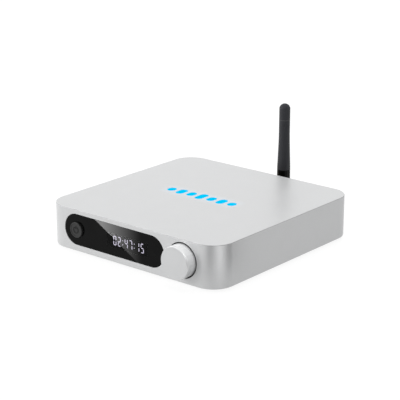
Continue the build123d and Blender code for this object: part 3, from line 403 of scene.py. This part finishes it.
def corner_cards():
    upright = Matrix.Rotation(math.radians(90), 4, "X")
    for name, azimuth, distance, width, glow in CORNER_CARDS:
        material, tree, surface = blank_material(name + "_cloth")
        cloth = add_node(tree, "ShaderNodeEmission", {0: WHITE, 1: glow})
        tree.links.new(cloth.outputs[0], surface)
        centre = Vector((*CORNER_CENTRE, CORNER_CARD_HEIGHT / 2))
        centre += direction(azimuth, 0) * distance
        turn = Matrix.Rotation(math.radians(azimuth), 4, "Z") @ upright
        size = Matrix.Diagonal((width, CORNER_CARD_HEIGHT, 1, 1))
        bm = bmesh.new()
        bmesh.ops.create_grid(
            bm,
            x_segments=1,
            y_segments=1,
            size=0.5,
            matrix=Matrix.Translation(centre) @ turn @ size,
        )
        studio_card(bm, name, material)


# The sheen in the window is the gloss of a glowing card that lies just over the floor
# and lights the window alone. Its outline is SHEEN_EDGE and SHEEN_FAR. Its glow is full
# up to the first distance of SHEEN_FADE along SHEEN_DIRECTION, and gone at the second.
SHEEN_HEIGHT = 1 * MM
SHEEN_EDGE = ((-76.9 * MM, -109.9 * MM), (4.4 * MM, -65.0 * MM))
SHEEN_FAR = ((60 * MM, -65 * MM), (60 * MM, -125 * MM), (-60 * MM, -125 * MM))
SHEEN_GLOW = 24.0
SHEEN_DIRECTION = (0.732, -0.681, 0.0)
SHEEN_FADE = (25.8 * MM, 48.0 * MM)
SHEEN_FADE_POWER = 1.35


def window_sheen():
    material, tree, surface = blank_material("sheen_card")
    far = vector_maths(tree, "DOT_PRODUCT", object_place(tree), SHEEN_DIRECTION, "Value")
    level = ranged(tree, far, *SHEEN_FADE, 1.0, 0.0)
    level = maths(tree, "POWER", level, SHEEN_FADE_POWER)
    level = maths(tree, "MULTIPLY", level, SHEEN_GLOW)
    glow = add_node(tree, "ShaderNodeEmission", {0: WHITE, 1: level})
    clear = add_node(tree, "ShaderNodeBsdfTransparent", {0: WHITE})
    both = add_node(tree, "ShaderNodeAddShader", {0: glow.outputs[0], 1: clear.outputs[0]})
    tree.links.new(both.outputs[0], surface)
    bm = bmesh.new()
    corners = [bm.verts.new((x, y, SHEEN_HEIGHT)) for x, y in SHEEN_EDGE + SHEEN_FAR]
    bmesh.ops.contextual_create(bm, geom=corners)
    card = studio_card(bm, "sheen_card", material)
    shines_only_on(card, "display_window")


# ---------------------------------------------------------------- mesh helpers


def object_from(bm, name):
    mesh = bpy.data.meshes.new(name)
    bmesh.ops.recalc_face_normals(bm, faces=bm.faces)
    bm.to_mesh(mesh)
    bm.free()
    made = bpy.data.objects.new(name, mesh)
    scene.collection.objects.link(made)
    return made


def piece(bm, name, material, body):
    made = object_from(bm, name)
    made.data.materials.append(material)
    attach(made, body)


def new_verts(made):
    """The vertices among what a bmesh operator has made."""
    return [part for part in made["geom"] if isinstance(part, bmesh.types.BMVert)]


def runs_back(edge):
    run = edge.verts[1].co - edge.verts[0].co
    return abs(run.y) > 0.9 * run.length


def block(bm, low, high, radius, segments):
    """A block between two corners, with the edges that run front to back rounded."""
    low, high = Vector(low), Vector(high)
    verts = bmesh.ops.create_cube(bm, size=1.0)["verts"]
    bmesh.ops.scale(bm, vec=high - low, verts=verts)
    bmesh.ops.translate(bm, vec=(low + high) / 2, verts=verts)
    inside = set(verts)
    edges = [e for e in bm.edges if e.verts[0] in inside and e.verts[1] in inside]
    bmesh.ops.bevel(
        bm,
        geom=[e for e in edges if runs_back(e)],
        offset=radius,
        offset_type="OFFSET",
        segments=segments,
        profile=0.5,
        affect="EDGES",
        material=-1,
        clamp_overlap=True,
    )


# ---------------------------------------------------------------- finishes


def blasted_metal(name, colour, roughness, metallic, edge_tone):
    """Fine bead-blasted, satin metal: a tight grain with soft, broad clouding."""
    return finished(
        name,
        colour,
        roughness,
        metallic=metallic,
        grain=0.28 * MM,
        depth=0.006 * MM,
        mottle=9 * MM,
        mottle_amount=0.012,
        grain_amount=0.035,
        roughness_spread=0.025,
        edge=0.16 * MM,
        edge_colour=[min(1.0, c * edge_tone) for c in colour],
        edge_amount=0.6,
    )


def metal(name, colour, roughness):
    return finished(
        name,
        colour,
        roughness,
        metallic=1.0,
        grain=0.25 * MM,
        depth=0.004 * MM,
        mottle=3 * MM,
        mottle_amount=0.05,
        grain_amount=0.06,
        roughness_spread=0.07,
        edge=0.08 * MM,
        edge_colour=[min(1.0, c * 1.15) for c in colour],
    )


def plastic(
    name, colour, roughness, grain=0.35 * MM, depth=0.012 * MM, edge=0.12 * MM, specular=0.45
):
    return finished(
        name,
        colour,
        roughness,
        specular=specular,
        grain=grain,
        depth=depth,
        mottle=5 * MM,
        mottle_amount=0.07,
        grain_amount=0.08,
        roughness_spread=0.06,
        edge=edge,
        edge_colour=[min(1.0, c * 1.9 + 0.01) for c in colour],
        edge_amount=0.45,
    )


def tone_band(material, lean, rise, fall, tone):
    """Multiplies the colour by tone between two values of the lean. The band has two
    soft sides, its rise and its fall."""
    tree = material.node_tree
    band = maths(
        tree,
        "MULTIPLY",
        ranged(tree, lean, *rise, 0.0, 1.0, smooth=True),
        ranged(tree, lean, *fall, 1.0, 0.0, smooth=True),
    )
    toned = mixed(tree, 1.0, base_tone(material), grey(tone), "MULTIPLY")
    paint_over(material, band, toned)


# The light bars' glow on the metal round them, painted into the shell's material as
# emission: the middle and half size of the place that has it in full, and how far it reaches
# beyond.
HALO_CENTRE = (-0.35 * MM, 0.55 * MM, 25.3 * MM)
HALO_HALF = (22.0 * MM, 2.5 * MM, 0.0)
HALO_REACH = 6.5 * MM
HALO_COLOUR = (0.30, 0.62, 1.0)
HALO_STRENGTH = 0.075


def add_painted_halo(material):
    tree = material.node_tree
    shader = shader_of(material)
    offset = vector_maths(tree, "SUBTRACT", object_place(tree), HALO_CENTRE)
    beyond = vector_maths(tree, "ABSOLUTE", offset)
    beyond = vector_maths(tree, "SUBTRACT", beyond, HALO_HALF)
    beyond = vector_maths(tree, "MAXIMUM", beyond, (0, 0, 0))
    distance = vector_maths(tree, "LENGTH", beyond, output="Value")
    level = ranged(tree, distance, 0.0, HALO_REACH, HALO_STRENGTH, 0.0, smooth=True)
    # Painted light: the bars' glow set as emission on the shell round them.
    shader.inputs["Emission Color"].default_value = rgba(HALO_COLOUR)
    tree.links.new(level, shader.inputs["Emission Strength"])


# The lower part of the radius round the top is painted darker: a painted shade that tones
# down its highlight. It is told by how far the surface leans up, from nothing on a wall to
# one on the top.
SHELL_COLOUR = (0.625, 0.630, 0.635)
RIM_PAINTED_SHADE = 0.68
RIM_RISE, RIM_FALL = (0.05, 0.20), (0.62, 0.76)


def shell_metal():
    # The last number, the edge tone, paints the shell's sharp edges darker: painted shade
    # that dims their highlight.
    material = blasted_metal("shell_blasted", SHELL_COLOUR, 0.38, 0.30, 0.9)
    tree = material.node_tree
    lean = along_axis(tree, surface_normal(tree), "Z")
    # Painted shade on the lower part of the radius round the top, which tones down its
    # highlight.
    tone_band(material, lean, RIM_RISE, RIM_FALL, RIM_PAINTED_SHADE)
    add_painted_halo(material)
    return material


# The knob's chamfer is painted lighter: a painted highlight along its rim. It is told
# by how far the surface leans to the front, from nothing on the side to one on the face.
KNOB_COLOUR = (0.61, 0.615, 0.62)
CHAMFER_PAINTED_HIGHLIGHT = 1.1
CHAMFER_RISE, CHAMFER_FALL = (0.30, 0.50), (0.85, 0.95)


def knob_metal():
    material = blasted_metal("knob_blasted", KNOB_COLOUR, 0.33, 0.39, 1.05)
    tree = material.node_tree
    lean = maths(tree, "ABSOLUTE", along_axis(tree, surface_normal(tree), "Y"))
    # Painted highlight on the knob's chamfer.
    tone_band(material, lean, CHAMFER_RISE, CHAMFER_FALL, CHAMFER_PAINTED_HIGHLIGHT)
    return material


GLASS_CLEAR_CENTRE = (-1.0 * MM, 0.0, 13.5 * MM)
GLASS_CLEAR_HALF = {"X": 14.2 * MM, "Z": 3.6 * MM}
GLASS_CLEAR_BORDER = 0.5 * MM
GLASS_TINT = grey(0.02)
GLASS_IOR = 1.16
GLASS_ROUGHNESS = (0.008, 0.03)
GLASS_FILM_SIZE = 9 * MM
GLASS_PRINT_TONES = (grey(0.002), grey(0.004))


def window_glass():
    """Smoked glass, clear over the display's figures and black with print elsewhere."""
    material, tree, shader, place = new_material("smoked_glass", GLASS_TINT, 0.02)
    shader.inputs["IOR"].default_value = GLASS_IOR
    film = noise(tree, place, GLASS_FILM_SIZE, 3.0, 0.6)
    gloss = ranged(tree, film, 0.35, 0.75, *GLASS_ROUGHNESS)
    tree.links.new(gloss, shader.inputs["Roughness"])
    offset = vector_maths(tree, "SUBTRACT", place, GLASS_CLEAR_CENTRE)
    offset = vector_maths(tree, "ABSOLUTE", offset)
    across, up = (
        ranged(
            tree,
            along_axis(tree, offset, axis),
            half,
            half + GLASS_CLEAR_BORDER,
            1.0,
            0.0,
            smooth=True,
        )
        for axis, half in GLASS_CLEAR_HALF.items()
    )
    clear = maths(tree, "MULTIPLY", across, up)
    tree.links.new(clear, shader.inputs["Transmission Weight"])
    print_tone = mixed(tree, noise_ranged(tree, film, 0.0, 1.0), *GLASS_PRINT_TONES)
    tone = mixed(tree, clear, print_tone, GLASS_TINT)
    tree.links.new(tone, shader.inputs["Base Color"])
    return material


GLOW_ROUGHNESS = 0.5
GLOW_SPOT_SIZE = 2 * MM
GLOW_SPOT_TONE = 1.2


def glowing(name, colour, strength, base, spread=0.08, specular=0.3):
    """A lit surface whose glow varies a little, by the spread, from spot to spot."""
    material, tree, shader, place = new_material(
        name, base, GLOW_ROUGHNESS, specular=specular
    )
    spots = noise(tree, place, GLOW_SPOT_SIZE, 2.0, 0.5)
    shader.inputs["Emission Color"].default_value = rgba(colour)
    level = noise_ranged(tree, spots, strength * (1 - spread), strength)
    tree.links.new(level, shader.inputs["Emission Strength"])
    lighter = [c * GLOW_SPOT_TONE for c in base]
    tone = mixed(tree, noise_ranged(tree, spots, 0.0, 1.0), base, lighter)
    tree.links.new(tone, shader.inputs["Base Color"])
    return material


BOARD_COLOUR = (0.012, 0.10, 0.045)
BOARD_TRACK_TONE = 0.55
BOARD_PADS_PER_METRE = 320.0
BOARD_PAD_EDGE = (0.13, 0.11)
BOARD_PAD_COLOUR = (0.75, 0.55, 0.22)
BOARD_RELIEF = 0.03 * MM
BOARD_ROUGHNESS = (0.26, 0.40)


def circuit_board():
    """Green solder mask over copper tracks, with gold plated pads."""
    material, tree, shader, place = new_material("circuit_board", BOARD_COLOUR, 0.32)
    tracks = add_node(
        tree,
        "ShaderNodeTexBrick",
        {
            "Vector": place,
            "Color1": WHITE,
            "Color2": rgba(grey(0.8)),
            "Mortar": rgba(grey(0.0)),
            "Scale": 160.0,
            "Mortar Size": 0.012,
            "Brick Width": 0.9,
            "Row Height": 0.22,
        },
    )
    track_colour = [c * BOARD_TRACK_TONE for c in BOARD_COLOUR]
    tone = mixed(tree, tracks.outputs["Color"], track_colour, BOARD_COLOUR)
    pads = add_node(
        tree,
        "ShaderNodeTexVoronoi",
        {"Vector": place, "Scale": BOARD_PADS_PER_METRE, "Randomness": 0.9},
    )
    pad = ranged(tree, pads.outputs["Distance"], *BOARD_PAD_EDGE, 0.0, 1.0)
    tone = mixed(tree, pad, tone, BOARD_PAD_COLOUR)
    tree.links.new(tone, shader.inputs["Base Color"])
    tree.links.new(pad, shader.inputs["Metallic"])
    relief = add_node(
        tree,
        "ShaderNodeBump",
        {"Height": tracks.outputs["Fac"], "Strength": 0.6, "Distance": BOARD_RELIEF},
    )
    tree.links.new(relief.outputs[0], shader.inputs["Normal"])
    weave = noise(tree, place, 0.6 * MM, 3.0, 0.55)
    tree.links.new(noise_ranged(tree, weave, *BOARD_ROUGHNESS), shader.inputs["Roughness"])
    return material


SLEEVE_COLOUR = (0.034, 0.035, 0.040)
SEAM_HEIGHT = 54.2 * MM
SEAM_HALF_WIDTH = 0.35 * MM
SEAM_PAINTED_HIGHLIGHT = grey(0.075)


def antenna_rubber():
    """Soft rubber with the fine moulded seam round the sleeve, a little below its tip. The
    seam is a lighter band, a painted highlight of its groove.
    """
    material = plastic(
        "antenna_soft_rubber", SLEEVE_COLOUR, 0.52, 0.25 * MM, 0.008 * MM, specular=0.20
    )
    tree = material.node_tree
    height = along_axis(tree, object_place(tree), "Z")
    away = maths(tree, "ABSOLUTE", maths(tree, "SUBTRACT", height, SEAM_HEIGHT))
    seam = ranged(tree, away, 0.0, SEAM_HALF_WIDTH, 1.0, 0.0, smooth=True)
    # Painted highlight: the seam is drawn lighter, as if its groove caught the light.
    paint_over(material, seam, SEAM_PAINTED_HIGHLIGHT)
    return material


BAR_BLUE = (0.0006, 0.604, 1.0)
DIGIT_WHITE = (0.80, 0.76, 0.92)
DIGIT_GLOW = 42.0
LENS_RED = (1.0, 0.04, 0.02)

finishes = {
    "shell": shell_metal(),
    "knob": knob_metal(),
    "glass": window_glass(),
    "button": plastic("button_soft_black", grey(0.019), 0.42, specular=0.30),
    "black": plastic("moulded_black", grey(0.012), 0.45),
    "base": plastic("base_moulded", grey(0.045), 0.55, 0.6 * MM, 0.03 * MM),
    "foot": plastic("foot_rubber", grey(0.020), 0.75, 0.5 * MM, 0.03 * MM),
    "panel": plastic("rear_powder_coat", grey(0.016), 0.5, 0.3 * MM, 0.02 * MM),
    "sleeve": antenna_rubber(),
    "knuckle": plastic("antenna_hard_black", grey(0.002), 0.34, specular=0.14),
    "screw": metal("screw_steel", (0.30, 0.30, 0.31), 0.32),
    "steel": metal("bright_steel", (0.56, 0.55, 0.54), 0.28),
    "chrome": metal("socket_tinned", (0.62, 0.62, 0.63), 0.22),
    "brass": metal("brass", (0.72, 0.50, 0.22), 0.30),
    "gold": metal("gold_plating", (0.82, 0.60, 0.27), 0.22),
    "sink": metal("heat_sink", (0.10, 0.10, 0.105), 0.40),
    "can": metal("tinned_can", (0.55, 0.55, 0.56), 0.30),
    "oled": plastic("display_black_glass", grey(0.003), 0.5, edge=0.0, specular=0.1),
    "adhesive": plastic("adhesive_foam", grey(0.003), 0.8, specular=0.1),
    "flex": plastic("flex_film", (0.50, 0.22, 0.06), 0.3),
    "board": circuit_board(),
    "led": plastic("led_package", (0.80, 0.78, 0.70), 0.4),
    "chip": plastic("chip_moulding", grey(0.018), 0.5, 0.2 * MM),
    "pad": plastic("thermal_pad", (0.14, 0.30, 0.50), 0.6),
    "film": plastic("film_capacitor", (0.45, 0.03, 0.02), 0.3),
    "white_core": plastic("socket_white", (0.78, 0.78, 0.76), 0.35),
    "red_core": plastic("socket_red", (0.55, 0.02, 0.02), 0.35),
    "lens": glowing("optical_lens", LENS_RED, 0.9, (0.25, 0.01, 0.01)),
    "lead": plastic("antenna_lead", grey(0.012), 0.4, 0.2 * MM),
    "bars": glowing("light_bars", BAR_BLUE, 1.0, (0.0, 0.01, 0.02), 0.02, 0.0),
    "digits": glowing("display_glow", DIGIT_WHITE, DIGIT_GLOW, grey(0.02)),
    "print": plastic("window_print", grey(0.003), 0.5, edge=0.0, specular=0.1),
    "mark": plastic("button_mark_ink", grey(0.004), 0.5, edge=0.0, specular=0.15),
}

node_finishes = {
    "shell": ["housing_shell"],
    "knob": ["knob_cap"],
    "glass": ["display_window"],
    "button": ["power_button"],
    "base": ["base_plate"],
    "foot": ["rubber_feet"],
    "panel": ["rear_panel"],
    "sleeve": ["antenna_sleeve"],
    "knuckle": ["antenna_knuckle", "antenna_fork"],
    "black": [
        "board_link", "display_carrier", "encoder_plunger", "knob_insert", "knob_well",
        "lan_insert", "optical_jack", "optical_shutter", "pairing_button",
        "pairing_switch", "power_switch", "rca_block", "usb_tongue",
    ],
    "screw": ["base_screws", "board_screws"],
    "steel": [
        "antenna_tilt_pin", "encoder_bushing", "encoder_housing", "encoder_nut",
        "encoder_shaft",
    ],
    "chrome": ["lan_shell", "usb_shell"],
    "brass": ["antenna_radiator"],
    "gold": [
        "antenna_connector", "antenna_connector_nut", "antenna_nut",
        "antenna_lead_plug", "lan_contacts", "rca_shells",
    ],
    "sink": ["heat_spreader"],
    "can": ["capacitors", "crystals", "shield_can"],
    "oled": ["oled_panel"],
    "adhesive": ["window_adhesive"],
    "flex": ["oled_flex"],
    "board": ["front_board", "light_board", "main_board", "radio_module"],
    "led": ["light_board_leds"],
    "chip": ["chips", "inductors"],
    "pad": ["thermal_pad"],
    "film": ["film_capacitors"],
    "white_core": ["rca_left_core"],
    "red_core": ["rca_right_core"],
    "lens": ["optical_lens"],
    "lead": ["antenna_lead"],
    "bars": ["light_guide"],
}


def finish_nodes():
    left = set(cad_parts)
    for finish, names in node_finishes.items():
        for name in names:
            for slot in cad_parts[name].material_slots:
                slot.material = finishes[finish]
            left.discard(name)
    if left:
        raise ValueError(f"no finish is given to {sorted(left)}")


# ---------------------------------------------------------------- display window

WINDOW_SEGMENTS = 96
BUTTON_HOLE_SEGMENTS = 64
BUTTON_HOLE_RADIUS = 4.50 * MM
PRINT_GAP = 0.006 * MM
PRINT_THICKNESS = 0.03 * MM
EDGE_INK = 0.02 * MM
# The clear opening in the print, over the display.
APERTURE_X = (-13.4 * MM, 14.0 * MM)
APERTURE_Z = (9.1 * MM, 19.0 * MM)
APERTURE_CORNER = 0.8 * MM
APERTURE_CORNER_SEGMENTS = 5


def flat_circle(bm, x, z, radius, y, segments):
    turn = Matrix.Translation((x, y, z)) @ Matrix.Rotation(math.radians(90), 4, "X")
    made = bmesh.ops.create_circle(
        bm, cap_ends=False, segments=segments, radius=radius, matrix=turn
    )
    return made["verts"]


def button_front():
    """The middle of the power button in X and Z, and its front in Y."""
    low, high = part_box("power_button")
    return (low.x + high.x) / 2, (low.z + high.z) / 2, low.y


def window_outline(bm, inset, y):
    """The pill outline of the window, drawn in from its edge, with the button's hole."""
    low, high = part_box("display_window")
    middle_z = (low.z + high.z) / 2
    radius = (high.z - low.z) / 2 - inset
    left_x = low.x + inset + radius
    right_x = high.x - inset - radius
    for vert in flat_circle(bm, left_x, middle_z, radius, y, WINDOW_SEGMENTS):
        if vert.co.x > left_x:
            vert.co.x += right_x - left_x
    button_x, button_z, _ = button_front()
    hole_radius = BUTTON_HOLE_RADIUS + inset
    flat_circle(bm, button_x, button_z, hole_radius, y, BUTTON_HOLE_SEGMENTS)


def window_edge_ink():
    """Black ink on the edge of the glass and of its hole for the button."""
    low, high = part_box("display_window")
    bm = bmesh.new()
    window_outline(bm, EDGE_INK, high.y - EDGE_INK)
    walls = bmesh.ops.extrude_edge_only(bm, edges=list(bm.edges))
    reach = low.y - high.y + 3 * EDGE_INK
    bmesh.ops.translate(bm, vec=(0, reach, 0), verts=new_verts(walls))
    bmesh.ops.recalc_face_normals(bm, faces=bm.faces)
    bmesh.ops.solidify(bm, geom=list(bm.faces), thickness=EDGE_INK / 2)
    piece(bm, "window_edge_ink", finishes["print"], "base")


def window_print():
    """The black print behind the glass, clear over the display and the button."""
    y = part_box("display_window")[1].y + PRINT_GAP
    bm = bmesh.new()
    window_outline(bm, 0.0, y)
    (left, right), (bottom, top) = APERTURE_X, APERTURE_Z
    places = ((left, bottom), (right, bottom), (right, top), (left, top))
    corners = [bm.verts.new((x, y, z)) for x, z in places]
    for corner, following in zip(corners, corners[1:] + corners[:1]):
        bm.edges.new((corner, following))
    bmesh.ops.bevel(
        bm,
        geom=corners,
        offset=APERTURE_CORNER,
        offset_type="OFFSET",
        segments=APERTURE_CORNER_SEGMENTS,
        profile=0.5,
        affect="VERTICES",
        material=-1,
    )
    bmesh.ops.triangle_fill(bm, use_beauty=True, use_dissolve=False, edges=bm.edges)
    grown = bmesh.ops.extrude_face_region(bm, geom=list(bm.faces))
    bmesh.ops.translate(bm, vec=(0, PRINT_THICKNESS, 0), verts=new_verts(grown))
    piece(bm, "window_print", finishes["print"], "base")


# ---------------------------------------------------------------- display figures

DIGIT_CENTRE_X = -1.75 * MM
DIGIT_CENTRE_Z = 12.9 * MM
DIGIT_HEIGHT = 5.3 * MM
DIGIT_WIDTH = 2.15 * MM
DIGIT_PITCH = 3.2 * MM
COLON_PITCH = 1.75 * MM
COLON_RISE = 1.1 * MM
COLON_DOT_HALF = 0.27 * MM
STROKE = 0.50 * MM
STROKE_GAP = 0.10 * MM
STROKE_ROUNDING = 0.45
STROKE_SEGMENTS = 3
DIGIT_THICKNESS = 0.012 * MM
SHOWN_TIME = "02:47:15"
# Strokes: top, upper left, upper right, middle, lower left, lower right, bottom.
DIGIT_STROKES = {
    "0": "1110111", "1": "0010010", "2": "1011101", "4": "0111010", "5": "1101011",
    "7": "1010010",
}


def stroke(bm, x, z, half_x, half_z, y):
    radius = 2 * STROKE_ROUNDING * min(half_x, half_z)
    low = (x - half_x, y - DIGIT_THICKNESS, z - half_z)
    high = (x + half_x, y, z + half_z)
    block(bm, low, high, radius, STROKE_SEGMENTS)


def digit(bm, figure, x, z, y):
    half_w, half_h, half_s = DIGIT_WIDTH / 2, DIGIT_HEIGHT / 2, STROKE / 2
    inset = half_s + STROKE_GAP
    out, up = half_w - half_s, half_h - half_s
    across = (half_w - inset, half_s)
    upright = (half_s, half_h / 2 - inset)
    places = (
        (0, up, across),
        (-out, half_h / 2, upright),
        (out, half_h / 2, upright),
        (0, 0, across),
        (-out, -half_h / 2, upright),
        (out, -half_h / 2, upright),
        (0, -up, across),
    )
    for shown, (right, rise, halves) in zip(DIGIT_STROKES[figure], places):
        if shown == "1":
            stroke(bm, x + right, z + rise, *halves, y)


def display_digits():
    """A track's running time on the display, lit from within."""
    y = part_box("oled_panel")[0].y
    pitches = [COLON_PITCH if c == ":" else DIGIT_PITCH for c in SHOWN_TIME]
    x = DIGIT_CENTRE_X - sum(pitches) / 2
    bm = bmesh.new()
    for figure, pitch in zip(SHOWN_TIME, pitches):
        x += pitch / 2
        if figure == ":":
            for rise in (-COLON_RISE, COLON_RISE):
                z = DIGIT_CENTRE_Z + rise
                stroke(bm, x, z, COLON_DOT_HALF, COLON_DOT_HALF, y)
        else:
            digit(bm, figure, x, DIGIT_CENTRE_Z, y)
        x += pitch / 2
    piece(bm, "display_digits", finishes["digits"], "base")


# ---------------------------------------------------------------- power button

BUTTON_MARK_RADIUS = 1.9 * MM
BUTTON_MARK_STROKE = 0.45 * MM
BUTTON_MARK_MOUTH = 0.85 * MM
BUTTON_MARK_BAR = 1.9 * MM
BUTTON_MARK_INK = 0.01 * MM
BUTTON_MARK_SEGMENTS = 64
BUTTON_MARK_ROUNDING = 0.45
BUTTON_MARK_CORNER_SEGMENTS = 4


def button_mark():
    """Darker ink on the button's raised ring and bar."""
    x, z, y = button_front()
    bm = bmesh.new()
    for radius in (BUTTON_MARK_RADIUS, BUTTON_MARK_RADIUS - BUTTON_MARK_STROKE):
        flat_circle(bm, x, z, radius, y, BUTTON_MARK_SEGMENTS)
    bmesh.ops.bridge_loops(bm, edges=list(bm.edges))
    mouth = []
    for face in bm.faces:
        centre = face.calc_center_median()
        if abs(centre.x - x) < BUTTON_MARK_MOUTH and centre.z > z:
            mouth.append(face)
    bmesh.ops.delete(bm, geom=mouth, context="FACES")
    ring = bmesh.ops.extrude_face_region(bm, geom=list(bm.faces))
    bmesh.ops.translate(bm, vec=(0, -BUTTON_MARK_INK, 0), verts=new_verts(ring))
    half = BUTTON_MARK_STROKE / 2
    middle = z + BUTTON_MARK_RADIUS - BUTTON_MARK_BAR / 4
    block(
        bm,
        (x - half, y - BUTTON_MARK_INK, middle - BUTTON_MARK_BAR / 2),
        (x + half, y, middle + BUTTON_MARK_BAR / 2),
        BUTTON_MARK_ROUNDING * BUTTON_MARK_STROKE,
        BUTTON_MARK_CORNER_SEGMENTS,
    )
    piece(bm, "power_button_mark", finishes["mark"], "power_button")


# ---------------------------------------------------------------- making it all

make_camera()
make_room()
make_floor()
light_studio()
corner_cards()
window_sheen()
finish_nodes()
window_print()
window_edge_ink()
display_digits()
button_mark()
